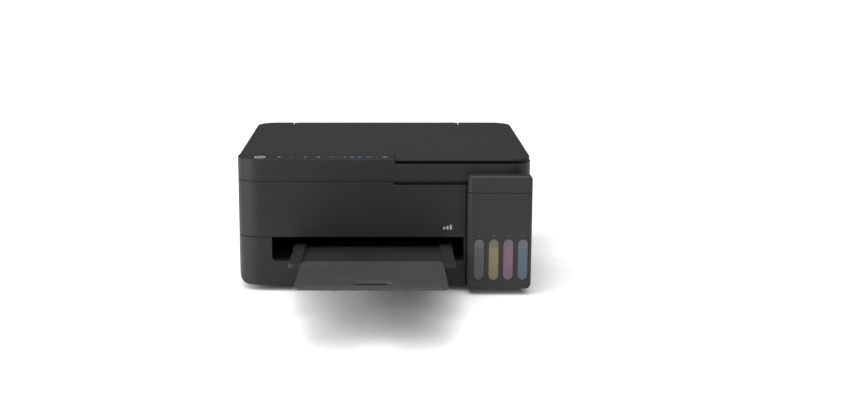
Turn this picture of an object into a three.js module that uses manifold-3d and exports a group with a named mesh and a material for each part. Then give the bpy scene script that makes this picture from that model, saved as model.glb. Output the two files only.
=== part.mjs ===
// Ink-tank all-in-one printer: a jointed assembly in millimetres, +Z up, front towards -Y.
// The body frame has X = 0 at the middle, Y = 0 on the front panel and Z = 0 on the table.
import * as THREE from "three";
import { mergeVertices } from "three/addons/utils/BufferGeometryUtils.js";
import Module from "manifold-3d";

const wasm = await Module();
wasm.setup();

// Driving dimensions
const WIDTH = 375;
const DEPTH = 327;
const HEIGHT = 172;
const WALL = 2.5;
const FRONT_RADIUS = 30;
const REAR_RADIUS = 28;
const BOTTOM_RADIUS = 12;
const FOOT_HEIGHT = 8;
const SCANNER_HEIGHT = 28.5;
const LID_THICKNESS = 2.6;
const LID_RIM = 2.8;
const SLOT_TOP = 71;
const SLOT_LIP = 40;
const SLOT_LEFT_MARGIN = 44.5;
const PANEL_WIDTH = 200;
const PANEL_DEPTH = 38.5;
const TANK_WIDTH = 81.7;
const TANK_PROUD = 20;
const TANK_DEPTH = 138;
const TANK_BOTTOM = 9;
const TANK_SEAM_DROP = 11.2;
const TANK_COVER_RISE = 10.5;
const WINDOW_WIDTH = 12.6;
const WINDOW_LOW = 19.7;
const WINDOW_HIGH = 73.6;
const INK_TANK_WIDTH = 16.4;
const TRAY_WIDTH = 200;
const TRAY_TIP_WIDTH = 170;
const TRAY_REACH = 251;
const TRAY_TRAVEL = 122;
const TRAY_TILT = 3;
const FEEDER_WIDTH = 244;
const FEEDER_CENTRE = -12;
const FEEDER_TILT = 15;
const CARRIAGE_WIDTH = 86;
const BUTTON_RADIUS = 5.6;
const POWER_RADIUS = 7.2;

// Clearances
const SEAM = 0.6;
const GAP = 0.3;
const RUNNING = 0.4;

// Places that follow from them
const HALF = WIDTH / 2;
const TANK_RIGHT = HALF - 0.5;
const TANK_LEFT = TANK_RIGHT - TANK_WIDTH;
const BAY_LEFT = TANK_LEFT - SEAM;
const BAY_BACK = TANK_DEPTH - TANK_PROUD + 0.5;
const SEAM_Z = HEIGHT - SCANNER_HEIGHT;
const SLOT_LEFT = -HALF + SLOT_LEFT_MARGIN;
const PANEL_RIGHT = -HALF + PANEL_WIDTH;
const FEEDER_LEFT = FEEDER_CENTRE - FEEDER_WIDTH / 2;
const FEEDER_RIGHT = FEEDER_CENTRE + FEEDER_WIDTH / 2;
const HINGE_Y = DEPTH - 5.5;
const HINGE_Z = HEIGHT - 4.6;
const ARM_X = HALF - 22;
const TRAY_CENTRE = (SLOT_LEFT + BAY_LEFT) / 2 + 5;
const PAPER_Y = DEPTH - 124;
const RAIL_Y = DEPTH - 137;
const RAIL_Z = SEAM_Z - 33.5;

const FINISHES = {
  shell: { color: 0x2d2d2e, roughness: 0.5, metalness: 0 },
  gloss: { color: 0x1b1b1c, roughness: 0.25, metalness: 0 },
  inner: { color: 0x1c1c1d, roughness: 0.6, metalness: 0 },
  grey: { color: 0x54565a, roughness: 0.55, metalness: 0 },
  rubber: { color: 0x141414, roughness: 0.9, metalness: 0 },
  steel: { color: 0xa9abad, roughness: 0.35, metalness: 1 },
  white: { color: 0xd8d8d4, roughness: 0.7, metalness: 0 },
  glass: { color: 0xbfd0cf, roughness: 0.05, metalness: 0 },
  board: { color: 0x1f5a33, roughness: 0.6, metalness: 0 },
  black: { color: 0x2b2b2e, roughness: 0.2, metalness: 0 },
  yellow: { color: 0x8a7c3c, roughness: 0.2, metalness: 0 },
  magenta: { color: 0x8c3f70, roughness: 0.2, metalness: 0 },
  cyan: { color: 0x2f6a92, roughness: 0.2, metalness: 0 },
};

/** Turns a closed geometry into a solid that can be cut and joined. */
function toSolid(geometry) {
  const bare = geometry.index ? geometry.toNonIndexed() : geometry.clone();
  bare.deleteAttribute("normal");
  bare.deleteAttribute("uv");
  const merged = mergeVertices(bare, 1e-4);
  return new wasm.Manifold(
    new wasm.Mesh({
      numProp: 3,
      vertProperties: merged.attributes.position.array,
      triVerts: new Uint32Array(merged.index.array),
    }),
  );
}

/** Turns a solid back into a geometry. */
function toGeometry(solid) {
  const mesh = solid.getMesh();
  const places = new Float32Array(mesh.numVert * 3);
  for (let i = 0; i < mesh.numVert; i++) {
    places.set(mesh.vertProperties.subarray(i * mesh.numProp, i * mesh.numProp + 3), i * 3);
  }
  const geometry = new THREE.BufferGeometry();
  geometry.setAttribute("position", new THREE.BufferAttribute(places, 3));
  geometry.setIndex(new THREE.BufferAttribute(mesh.triVerts, 1));
  geometry.computeVertexNormals();
  return geometry;
}

const join = (first, ...rest) => rest.reduce((whole, piece) => whole.add(piece), first);
const cut = (first, ...rest) => rest.reduce((whole, piece) => whole.subtract(piece), first);
const common = (first, ...rest) => rest.reduce((whole, piece) => whole.intersect(piece), first);

/** A closed outline through corners given as [u, v, fillet radius]. */
function outline(corners) {
  const shape = new THREE.Shape();
  const count = corners.length;
  corners.forEach(([u, v, radius = 0], index) => {
    const here = new THREE.Vector2(u, v);
    const before = new THREE.Vector2(...corners[(index + count - 1) % count]).sub(here);
    const after = new THREE.Vector2(...corners[(index + 1) % count]).sub(here);
    before.normalize();
    after.normalize();
    if (radius === 0) {
      if (index === 0) shape.moveTo(u, v);
      else shape.lineTo(u, v);
      return;
    }
    const half = Math.acos(THREE.MathUtils.clamp(before.dot(after), -1, 1)) / 2;
    const start = here.clone().addScaledVector(before, radius / Math.tan(half));
    const end = here.clone().addScaledVector(after, radius / Math.tan(half));
    const toCentre = before.clone().add(after).normalize();
    const centre = here.clone().addScaledVector(toCentre, radius / Math.sin(half));
    const from = Math.atan2(start.y - centre.y, start.x - centre.x);
    const to = Math.atan2(end.y - centre.y, end.x - centre.x);
    if (index === 0) shape.moveTo(start.x, start.y);
    else shape.lineTo(start.x, start.y);
    shape.absarc(centre.x, centre.y, radius, from, to, before.cross(after) > 0);
  });
  return shape;
}

const rect = (u0, v0, u1, v1, r = 0) => outline([
  [u0, v0, r],
  [u1, v0, r],
  [u1, v1, r],
  [u0, v1, r],
]);

function circle(u, v, radius) {
  const shape = new THREE.Shape();
  shape.absarc(u, v, radius, 0, 2 * Math.PI, false);
  return shape;
}

/** An outline in X and Y, from one height to another. */
function upright(shape, low, high, segments = 4) {
  const options = { depth: high - low, bevelEnabled: false, curveSegments: segments };
  return toSolid(new THREE.ExtrudeGeometry(shape, options).translate(0, 0, low));
}

/** An outline in X and Z, from one depth to another. */
function alongY(shape, front, back, segments = 4) {
  const options = { depth: back - front, bevelEnabled: false, curveSegments: segments };
  const geometry = new THREE.ExtrudeGeometry(shape, options);
  return toSolid(geometry.translate(0, 0, -back).rotateX(Math.PI / 2));
}

/** An outline in Y and Z, from one side to another. */
function alongX(shape, left, right, segments = 4) {
  const options = { depth: right - left, bevelEnabled: false, curveSegments: segments };
  const turn = new THREE.Matrix4().set(0, 0, 1, 0, 1, 0, 0, 0, 0, 1, 0, 0, 0, 0, 0, 1);
  const geometry = new THREE.ExtrudeGeometry(shape, options);
  return toSolid(geometry.translate(0, 0, left).applyMatrix4(turn));
}

/** A box between two corners. */
function box(x0, y0, z0, x1, y1, z1) {
  const geometry = new THREE.BoxGeometry(x1 - x0, y1 - y0, z1 - z0);
  return toSolid(geometry.translate((x0 + x1) / 2, (y0 + y1) / 2, (z0 + z1) / 2));
}

/** A rod along X round a point in Y and Z. */
const rodX = (y, z, radius, left, right, sides = 4) => alongX(circle(y, z, radius), left, right, sides);
/** A rod along Z round a point in X and Y. */
const rodZ = (x, y, radius, low, high, sides = 4) => upright(circle(x, y, radius), low, high, sides);

/** A rod along Y round a point in X and Z. */
const rodY = (x, z, radius, front, back, sides = 4) => alongY(circle(x, z, radius), front, back, sides);

/** A named sub-part with its own finish. */
function piece(name, finish, solid, parent) {
  const mesh = new THREE.Mesh(toGeometry(solid), new THREE.MeshStandardMaterial(FINISHES[finish]));
  mesh.name = name;
  parent.add(mesh);
  return mesh;
}

const printer = new THREE.Group();
printer.position.y = (TRAY_REACH - DEPTH) / 2;

/** The body's plan, with the bay for the tank unit cut from its front right corner. */
function bodyPlan(inset) {
  const bayLeft = BAY_LEFT - inset;
  const bayBack = BAY_BACK + inset;
  return outline([
    [-HALF + inset, inset, FRONT_RADIUS - inset],
    [bayLeft, inset, 1],
    [bayLeft, bayBack, 1],
    [HALF - inset, bayBack, 1],
    [HALF - inset, DEPTH - inset, REAR_RADIUS - inset],
    [-HALF + inset, DEPTH - inset, REAR_RADIUS - inset],
  ]);
}

/** The scanner's plan: the whole rectangle less the paper feeder's notch at the rear. */
function scannerPlan(inset, notch) {
  return outline([
    [-HALF + inset, inset, FRONT_RADIUS - inset],
    [HALF - inset, inset, FRONT_RADIUS - inset],
    [HALF - inset, DEPTH - inset, REAR_RADIUS - inset],
    [FEEDER_RIGHT + inset + SEAM, DEPTH - inset, 1],
    [FEEDER_RIGHT + inset + SEAM, DEPTH - notch - inset, 1],
    [FEEDER_LEFT - inset - SEAM, DEPTH - notch - inset, 1],
    [FEEDER_LEFT - inset - SEAM, DEPTH - inset, 1],
    [-HALF + inset, DEPTH - inset, REAR_RADIUS - inset],
  ]);
}

// Lower housing: an open tub with the mouth of the output slot, tray rails and posts for the chassis
const FOOT_PLACES = {
  foot_front_left: [-HALF + 42, 38],
  foot_front_right: [BAY_LEFT - 24, 38],
  foot_rear_left: [-HALF + 42, DEPTH - 42],
  foot_rear_right: [HALF - 42, DEPTH - 42],
};
const FOOT_RADIUS = 9;
const FLOOR_TOP = FOOT_HEIGHT + WALL;
const LOWER_TOP = SLOT_TOP - SEAM / 2;
const UPPER_LOW = SLOT_TOP + SEAM / 2;
const UPPER_TOP = SEAM_Z - SEAM / 2;
const SCANNER_LOW = SEAM_Z + SEAM / 2;
const TRAY_RAIL_GAP = TRAY_WIDTH / 2 + 1;
const TRAY_RAIL_BACK = 142;

function lowerHousing() {
  const reach = HALF + 1;
  const tub = common(
    upright(bodyPlan(0), FOOT_HEIGHT, LOWER_TOP, 6),
    alongY(rect(-HALF, FOOT_HEIGHT, HALF + 9, HEIGHT, BOTTOM_RADIUS), -1, DEPTH + 1),
  );
  const hollow = upright(bodyPlan(WALL), FLOOR_TOP, LOWER_TOP + 1, 6);
  const hollowProfile = rect(-HALF + WALL, FLOOR_TOP, reach, HEIGHT, BOTTOM_RADIUS - WALL);
  const mouth = alongY(outline([
    [SLOT_LEFT, SLOT_LIP, 6],
    [BAY_LEFT - WALL, SLOT_LIP],
    [BAY_LEFT - WALL, HEIGHT],
    [SLOT_LEFT, HEIGHT],
  ]), -1, WALL + 1);
  const rails = [-1, 1].map((side) => {
    const inner = TRAY_CENTRE + side * TRAY_RAIL_GAP;
    return box(Math.min(inner, inner + side * WALL), 14, FLOOR_TOP - 0.5,
      Math.max(inner, inner + side * WALL), TRAY_RAIL_BACK, SLOT_TOP - 16);
  });
  const inlet = box(-HALF + 34, DEPTH - WALL - 1, 24, -HALF + 62, DEPTH + 1, 44);
  const usb = box(BAY_LEFT + 20, DEPTH - WALL - 1, 26, BAY_LEFT + 34, DEPTH + 1, 40);
  const shell = cut(tub, common(hollow, alongY(hollowProfile, -1, DEPTH + 1)), mouth, inlet, usb);
  const sockets = Object.values(FOOT_PLACES).map(([x, y]) => rodZ(x, y, FOOT_RADIUS - 4, 0, FLOOR_TOP + 1));
  const shelf = box(SLOT_LEFT - 4, 1, SLOT_LIP - WALL, BAY_LEFT - WALL / 2, TRAY_RAIL_BACK, SLOT_LIP);
  return cut(join(shell, ...rails, shelf), ...sockets);
}
piece("lower_housing", "shell", lowerHousing(), printer);

for (const [name, [x, y]] of Object.entries(FOOT_PLACES)) {
  const foot = rodZ(x, y, FOOT_RADIUS, 0, FOOT_HEIGHT - GAP);
  const stem = rodZ(x, y, FOOT_RADIUS - 4 - GAP, FOOT_HEIGHT - 1, FLOOR_TOP + 1);
  piece(name, "rubber", join(foot, stem), printer);
}

// Upper housing: front panel, deck with the carriage opening, feed throat and the two hinge arms
const DECK = 2.5;
const OPENING = { left: -HALF + 22, right: HALF - 40, front: BAY_BACK + 14, back: DEPTH - 66 };
const THROAT_FRONT = DEPTH - 46;
const ARM_WIDTH = 6;
const PIN_RADIUS = 1.6;
const BORE_RADIUS = PIN_RADIUS + 0.3;
const KNUCKLE_RADIUS = 2.8;
const FINGER_LEFT = PANEL_RIGHT;

/** The side outline of a hinge arm: a neck that ends in a round eye. */
function armOutline(low) {
  const shape = new THREE.Shape();
  shape.moveTo(HINGE_Y - 6, low);
  shape.lineTo(HINGE_Y + 2.4, low);
  shape.lineTo(HINGE_Y + 2.4, HINGE_Z - 2);
  shape.absarc(HINGE_Y, HINGE_Z, KNUCKLE_RADIUS, -0.5, Math.PI + 0.5, false);
  shape.lineTo(HINGE_Y - 6, HINGE_Z - 9);
  return shape;
}

/** The upper tub: deck with its openings, finger recess and rear hinge arms. */
function upperHousing() {
  const tub = upright(bodyPlan(0), UPPER_LOW, UPPER_TOP, 6);
  const hollow = upright(bodyPlan(WALL), UPPER_LOW - 1, UPPER_TOP - DECK, 6);
  const cutLow = UPPER_TOP - 9;
  const cutHigh = UPPER_TOP + 1;
  const opening = box(OPENING.left, OPENING.front, cutLow, OPENING.right, OPENING.back, cutHigh);
  const throat = box(FEEDER_LEFT - GAP, THROAT_FRONT, cutLow, FEEDER_RIGHT + GAP, DEPTH - 8, cutHigh);
  const gripLow = UPPER_TOP - 4.4;
  const grip = box(FINGER_LEFT, -1, gripLow, BAY_LEFT + 1, 6, cutHigh);
  const gripBack = box(
    FINGER_LEFT - WALL, WALL / 2, gripLow - WALL,
    BAY_LEFT - WALL / 2, 6 + WALL, UPPER_TOP,
  );
  const rim = box(-HALF - 1, DEPTH - 17, UPPER_TOP - 2, HALF + 1, DEPTH + 1, UPPER_TOP + 1);
  const shell = cut(tub, hollow);
  const arms = [-1, 1].map((side) => {
    const centre = side * ARM_X;
    const low = UPPER_TOP - 14;
    return cut(
      alongX(armOutline(low), centre - ARM_WIDTH / 2, centre + ARM_WIDTH / 2),
      rodX(HINGE_Y, HINGE_Z, BORE_RADIUS, centre - ARM_WIDTH, centre + ARM_WIDTH),
    );
  });
  const rearLedge = box(
    -HALF + WALL / 2, DEPTH - 20, UPPER_TOP - 6,
    HALF - WALL / 2, DEPTH - WALL / 2, UPPER_TOP - 2,
  );
  const ledge = common(rearLedge, upright(bodyPlan(WALL / 2), 0, HEIGHT, 6));
  return join(cut(join(shell, gripBack, ledge), opening, throat, grip, rim), ...arms);
}
piece("upper_housing", "shell", upperHousing(), printer);

// Sockets at the rear
const inletBody = join(
  box(-HALF + 34 + GAP, DEPTH - 22, 24 + GAP, -HALF + 62 - GAP, DEPTH - 0.5, 44 - GAP),
  box(-HALF + 30, DEPTH - WALL - 3, 20, -HALF + 66, DEPTH - WALL - GAP, 48),
);
const inletHole = alongY(rect(-HALF + 38, 28, -HALF + 58, 40, 4), DEPTH - 14, DEPTH + 1);
const inletPins = [-HALF + 44, -HALF + 52].map((x) => alongY(circle(x, 34, 1.2), DEPTH - 15, DEPTH - 4));
piece("power_inlet", "inner", join(cut(inletBody, inletHole), ...inletPins), printer);
const usbLeft = BAY_LEFT + 20;
piece("usb_port", "steel", cut(
  join(
    box(usbLeft + GAP, DEPTH - 18, 26 + GAP, usbLeft + 14 - GAP, DEPTH - 0.5, 40 - GAP),
    box(usbLeft - 3, DEPTH - WALL - 2.5, 23, usbLeft + 17, DEPTH - WALL - GAP, 43),
  ),
  box(usbLeft + 1.5, DEPTH - 12, 27.5, usbLeft + 12.5, DEPTH + 1, 38.5),
), printer);

// Chassis: a folded steel channel on four legs that carries the rail, rollers and motors
const CHASSIS_LEFT = -HALF + 12;
const CHASSIS_RIGHT = HALF - 12;
const CHASSIS_Y = DEPTH - 92;
const CHASSIS_TOP = UPPER_TOP - DECK - 6;
const SIDE_FRONT = BAY_BACK + 5;
const EXIT_Y = RAIL_Y - 56;
const EXIT_Z = 78;
const FEED_Z = 74;
const MODULE = 1;
const FEED_TEETH = 36;
const PINION_TEETH = 12;
const EXIT_TEETH = 24;
const IDLER_TEETH = 38;
const GEAR_LEFT = CHASSIS_LEFT - 7;
const GEAR_RIGHT = CHASSIS_LEFT - 2.5;
const idlerReach = ((FEED_TEETH + IDLER_TEETH) * MODULE) / 2 + GAP;
const idlerShare = idlerReach / Math.hypot(EXIT_Y - PAPER_Y, EXIT_Z - FEED_Z);
const IDLER_Y = PAPER_Y + (EXIT_Y - PAPER_Y) * idlerShare;
const IDLER_Z = FEED_Z + (EXIT_Z - FEED_Z) * idlerShare;
const AXLE_RADIUS = 2;
const FEED_RADIUS = 4;
const CARRIAGE_HOME = HALF - 60;
const BELT_Y = CHASSIS_Y - 12;
const BELT_Z = RAIL_Z + 8;
const PULLEY_RADIUS = 6;
const BELT_LEFT = CHASSIS_LEFT + 16;
const BELT_RIGHT = CHASSIS_RIGHT - 16;
const RAIL_RADIUS = 5;
const SHAFT_RADIUS = 1.5;
const LEG = 12;
/** A folded channel with bores for the rail, rollers and motor shaft. */
function chassis() {
  const back = box(CHASSIS_LEFT, CHASSIS_Y, 84, CHASSIS_RIGHT, CHASSIS_Y + 2, CHASSIS_TOP);
  const sides = [CHASSIS_LEFT, CHASSIS_RIGHT - 2].map((x) => alongX(outline([
    [SIDE_FRONT, 62],
    [CHASSIS_Y + 2, 62],
    [CHASSIS_Y + 2, CHASSIS_TOP],
    [RAIL_Y - 22, CHASSIS_TOP, 8],
    [SIDE_FRONT, 92, 8],
  ]), x, x + 2));
  const legs = [CHASSIS_LEFT, CHASSIS_RIGHT - LEG].map((x) => join(
    box(x, CHASSIS_Y - LEG, FLOOR_TOP + GAP, x + LEG, CHASSIS_Y + 2, 86),
    box(x, SIDE_FRONT, FLOOR_TOP + GAP, x + LEG, SIDE_FRONT + LEG, 64),
  ));
  const bores = [
    rodX(PAPER_Y, FEED_Z, FEED_RADIUS + RUNNING, -HALF, HALF, 5),
    rodX(EXIT_Y, EXIT_Z, 3 + RUNNING, -HALF, HALF),
    rodX(RAIL_Y, RAIL_Z, RAIL_RADIUS + RUNNING, -HALF, HALF, 6),
    rodY(BELT_RIGHT, BELT_Z, SHAFT_RADIUS + RUNNING, CHASSIS_Y - 1, CHASSIS_Y + 3, 3),
  ];
  const rollerHole = box(FEEDER_LEFT, CHASSIS_Y - 1, 86, FEEDER_RIGHT, CHASSIS_Y + 3, 96);
  const axle = rodX(IDLER_Y, IDLER_Z, AXLE_RADIUS, GEAR_LEFT, CHASSIS_LEFT + 1);
  return join(cut(join(back, ...sides, ...legs), ...bores, rollerHole), axle);
}
piece("chassis", "steel", chassis(), printer);

// Carriage, rail, belt and drive
const railRod = rodX(RAIL_Y, RAIL_Z, RAIL_RADIUS, CHASSIS_LEFT - 3, CHASSIS_RIGHT + 3, 6);
piece("carriage_rail", "steel", railRod, printer);
/** The carriage: a block on the rail with a bay for the print head and a belt clamp. */
function carriage() {
  const x0 = CARRIAGE_HOME - CARRIAGE_WIDTH / 2;
  const x1 = CARRIAGE_HOME + CARRIAGE_WIDTH / 2;
  const shell = alongX(outline([
    [RAIL_Y - 42, 92, 3],
    [RAIL_Y + 14, 92, 3],
    [RAIL_Y + 14, RAIL_Z + 13, 3],
    [RAIL_Y - 42, RAIL_Z + 13, 3],
  ]), x0, x1, 3);
  const bay = box(x0 + 5, RAIL_Y - 38, 88, x1 - 5, RAIL_Y - 10, RAIL_Z + 20);
  const bore = rodX(RAIL_Y, RAIL_Z, RAIL_RADIUS + RUNNING, x0 - 1, x1 + 1, 6);
  const clamp = box(CARRIAGE_HOME - 8, RAIL_Y + 12, BELT_Z - 8, CARRIAGE_HOME + 8, BELT_Y - 5, BELT_Z - 4);
  return join(cut(shell, bay, bore), clamp);
}
piece("carriage", "inner", carriage(), printer);
const HEAD_HALF = CARRIAGE_WIDTH / 2 - 6;
piece("print_head", "grey", join(
  box(CARRIAGE_HOME - HEAD_HALF, RAIL_Y - 37, 86, CARRIAGE_HOME + HEAD_HALF, RAIL_Y - 11, RAIL_Z + 17),
  box(CARRIAGE_HOME - 22, RAIL_Y - 33, 82.5, CARRIAGE_HOME + 22, RAIL_Y - 15, 87),
), printer);

/** The outline of a belt run round both pulleys at a radius. */
function stadium(radius) {
  return rect(BELT_LEFT - radius, BELT_Z - radius, BELT_RIGHT + radius, BELT_Z + radius, radius - 0.01);
}
piece("carriage_belt", "rubber", cut(
  alongY(stadium(PULLEY_RADIUS + GAP + 1.2), BELT_Y - 3, BELT_Y + 3, 6),
  alongY(stadium(PULLEY_RADIUS + GAP), BELT_Y - 4, BELT_Y + 4, 6),
), printer);

/** A belt pulley at a place along X, with its bore and a turning mark on its front face. */
function pulley(x) {
  const front = BELT_Y - 4;
  const mark = box(
    x + PULLEY_RADIUS * 0.45, front - 1, BELT_Z - 1,
    x + PULLEY_RADIUS * 0.75, front + 1.5, BELT_Z + 1,
  );
  return cut(
    rodY(x, BELT_Z, PULLEY_RADIUS, front, BELT_Y + 4, 6),
    rodY(x, BELT_Z, SHAFT_RADIUS + GAP, BELT_Y - 5, BELT_Y + 5, 3),
    mark,
  );
}
piece("motor_pulley", "steel", pulley(BELT_RIGHT), printer);
piece("belt_idler", "white", pulley(BELT_LEFT), printer);
piece("carriage_motor", "steel", join(
  rodY(BELT_RIGHT, BELT_Z, 13, CHASSIS_Y + 2 + GAP, CHASSIS_Y + 32, 5),
  rodY(BELT_RIGHT, BELT_Z, SHAFT_RADIUS, BELT_Y - 4.5, CHASSIS_Y + 4, 3),
), printer);

// Paper path: platen, rollers, star wheels and the gear train on the left side plate
const PLATEN_HALF = FEEDER_WIDTH / 2 - 11;
const PATH_LEFT = FEEDER_CENTRE - PLATEN_HALF;
const PATH_RIGHT = FEEDER_CENTRE + PLATEN_HALF;
const ribs = Array.from({ length: 12 }, (_, i) => {
  const x = PATH_LEFT + 6 + (i * (2 * PLATEN_HALF - 12)) / 11;
  return box(x - 0.8, RAIL_Y - 42, 71, x + 0.8, RAIL_Y + 2, 76);
});
piece("platen", "inner", join(
  box(PATH_LEFT, RAIL_Y - 44, 68, PATH_RIGHT, RAIL_Y + 4, 72),
  ...ribs,
), printer);

/** The phase, in teeth, that lets a second wheel mesh with a first one at a given angle from it. */
function meshing(phase, teeth, nextTeeth, angle) {
  const turn = angle / (2 * Math.PI);
  return (turn + 0.5) * nextTeeth - phase + turn * teeth + 0.5;
}

/** A toothed wheel along X round a point in Y and Z, with an optional bore. */
function gearX(y, z, teeth, phase, bore) {
  const shape = new THREE.Shape();
  const pitch = (teeth * MODULE) / 2;
  for (let i = 0; i < teeth; i++) {
    const step = (2 * Math.PI) / teeth;
    const root = pitch - 1.1 * MODULE;
    const tip = pitch + 0.8 * MODULE;
    const corners = [[-0.26, root], [-0.12, tip], [0.12, tip], [0.26, root]];
    corners.forEach(([share, radius], k) => {
      const angle = (i + phase + share) * step;
      const u = y + radius * Math.cos(angle);
      const v = z + radius * Math.sin(angle);
      if (i === 0 && k === 0) shape.moveTo(u, v);
      else shape.lineTo(u, v);
    });
  }
  const wheel = alongX(shape, GEAR_LEFT, GEAR_RIGHT);
  return bore ? cut(wheel, rodX(y, z, bore, GEAR_LEFT - 1, GEAR_RIGHT + 1, 5)) : wheel;
}
piece("feed_roller", "steel", cut(
  join(
    rodX(PAPER_Y, FEED_Z, FEED_RADIUS, GEAR_LEFT - 1, CHASSIS_RIGHT + 3, 5),
    rodX(PAPER_Y, FEED_Z, 5, PATH_LEFT, PATH_RIGHT, 6),
  ),
  box(CHASSIS_RIGHT + 1.5, PAPER_Y + 2, FEED_Z - 5, CHASSIS_RIGHT + 4, PAPER_Y + 5, FEED_Z + 5),
), printer);
const idlerAngle = Math.atan2(EXIT_Z - FEED_Z, EXIT_Y - PAPER_Y);
const idlerPhase = meshing(0, FEED_TEETH, IDLER_TEETH, idlerAngle);
const exitPhase = meshing(idlerPhase, IDLER_TEETH, EXIT_TEETH, idlerAngle);
const pinionPhase = meshing(0, FEED_TEETH, PINION_TEETH, -Math.PI / 2);
piece("feed_gear", "white", gearX(PAPER_Y, FEED_Z, FEED_TEETH, 0, FEED_RADIUS + GAP), printer);
const PINION_Z = FEED_Z - ((FEED_TEETH + PINION_TEETH) * MODULE) / 2 - GAP;
const pinion = gearX(PAPER_Y, PINION_Z, PINION_TEETH, pinionPhase, SHAFT_RADIUS + GAP);
piece("feed_pinion", "steel", pinion, printer);
piece("feed_motor", "steel", join(
  rodX(PAPER_Y, PINION_Z, 11, CHASSIS_LEFT + 2 + GAP, CHASSIS_LEFT + 28, 5),
  rodX(PAPER_Y, PINION_Z, SHAFT_RADIUS, GEAR_LEFT + 0.3, CHASSIS_LEFT + 4, 3),
), printer);
const WHEEL_X = [-0.72, -0.27, 0.18, 0.63].map((share) => FEEDER_CENTRE + Math.round(share * PLATEN_HALF));
piece("exit_roller", "inner", join(
  rodX(EXIT_Y, EXIT_Z, 3, GEAR_LEFT + 0.5, CHASSIS_RIGHT + 3),
  ...WHEEL_X.map((x) => rodX(EXIT_Y, EXIT_Z, 5, x - 6, x + 6, 5)),
  gearX(EXIT_Y, EXIT_Z, EXIT_TEETH, exitPhase, 0),
), printer);
const idler = gearX(IDLER_Y, IDLER_Z, IDLER_TEETH, idlerPhase, AXLE_RADIUS + GAP);
piece("idler_gear", "white", idler, printer);
const starWheels = WHEEL_X.map((x) => rodX(EXIT_Y, EXIT_Z + 10.5, 5, x - 1, x + 1, 5));
piece("star_wheel_bar", "grey", join(
  box(CHASSIS_LEFT + 2.4, EXIT_Y - 4, EXIT_Z + 10, CHASSIS_RIGHT - 2.4, EXIT_Y + 4, EXIT_Z + 13),
  ...starWheels,
), printer);
piece("cap_station", "grey", cut(
  join(
    box(CARRIAGE_HOME - 24, RAIL_Y - 40, FLOOR_TOP + GAP, CARRIAGE_HOME + 36, RAIL_Y - 8, 76),
    box(CARRIAGE_HOME - 23, RAIL_Y - 36, 75, CARRIAGE_HOME + 23, RAIL_Y - 12, 81.8),
  ),
  box(CARRIAGE_HOME - 20, RAIL_Y - 33, 78, CARRIAGE_HOME + 20, RAIL_Y - 15, 83),
), printer);

// Electronics: the main board on four standoffs and the power supply on two rails
const BOARD = { left: 30, front: DEPTH - 84, width: 110, depth: 60, low: 14, thickness: 1.6 };
const chips = [[20, 19, 18], [54, 37, 12], [88, 15, 10]].map(([x, y, side]) => box(
  BOARD.left + x, BOARD.front + y, BOARD.low + 1,
  BOARD.left + x + side, BOARD.front + y + side, BOARD.low + 4,
));
const standoffs = [[6, 5], [82, 5], [6, 54], [82, 54]].map(([x, y]) =>
  rodZ(BOARD.left + x, BOARD.front + y, 3, FLOOR_TOP + GAP, BOARD.low + 0.5));
const board = box(
  BOARD.left, BOARD.front, BOARD.low,
  BOARD.left + BOARD.width, BOARD.front + BOARD.depth, BOARD.low + BOARD.thickness,
);
piece("mainboard", "board", join(board, ...chips, ...standoffs), printer);
const SUPPLY_LEFT = -HALF + 42;
const SUPPLY_FRONT = DEPTH - 84;
const supplyRails = [22, 88].map((x) => box(
  SUPPLY_LEFT + x, SUPPLY_FRONT + 2, FLOOR_TOP + GAP,
  SUPPLY_LEFT + x + 4, SUPPLY_FRONT + 56, 14,
));
piece("power_supply", "inner", join(
  box(SUPPLY_LEFT, SUPPLY_FRONT, 13, SUPPLY_LEFT + 116, SUPPLY_FRONT + 58, 48),
  ...supplyRails,
), printer);

// Rear paper feeder: frame, pickup roller, sliding support, guard flap and two edge guides
const FEED_TOP_Y = DEPTH - 5;
const tilt = THREE.MathUtils.degToRad(FEEDER_TILT);
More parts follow.
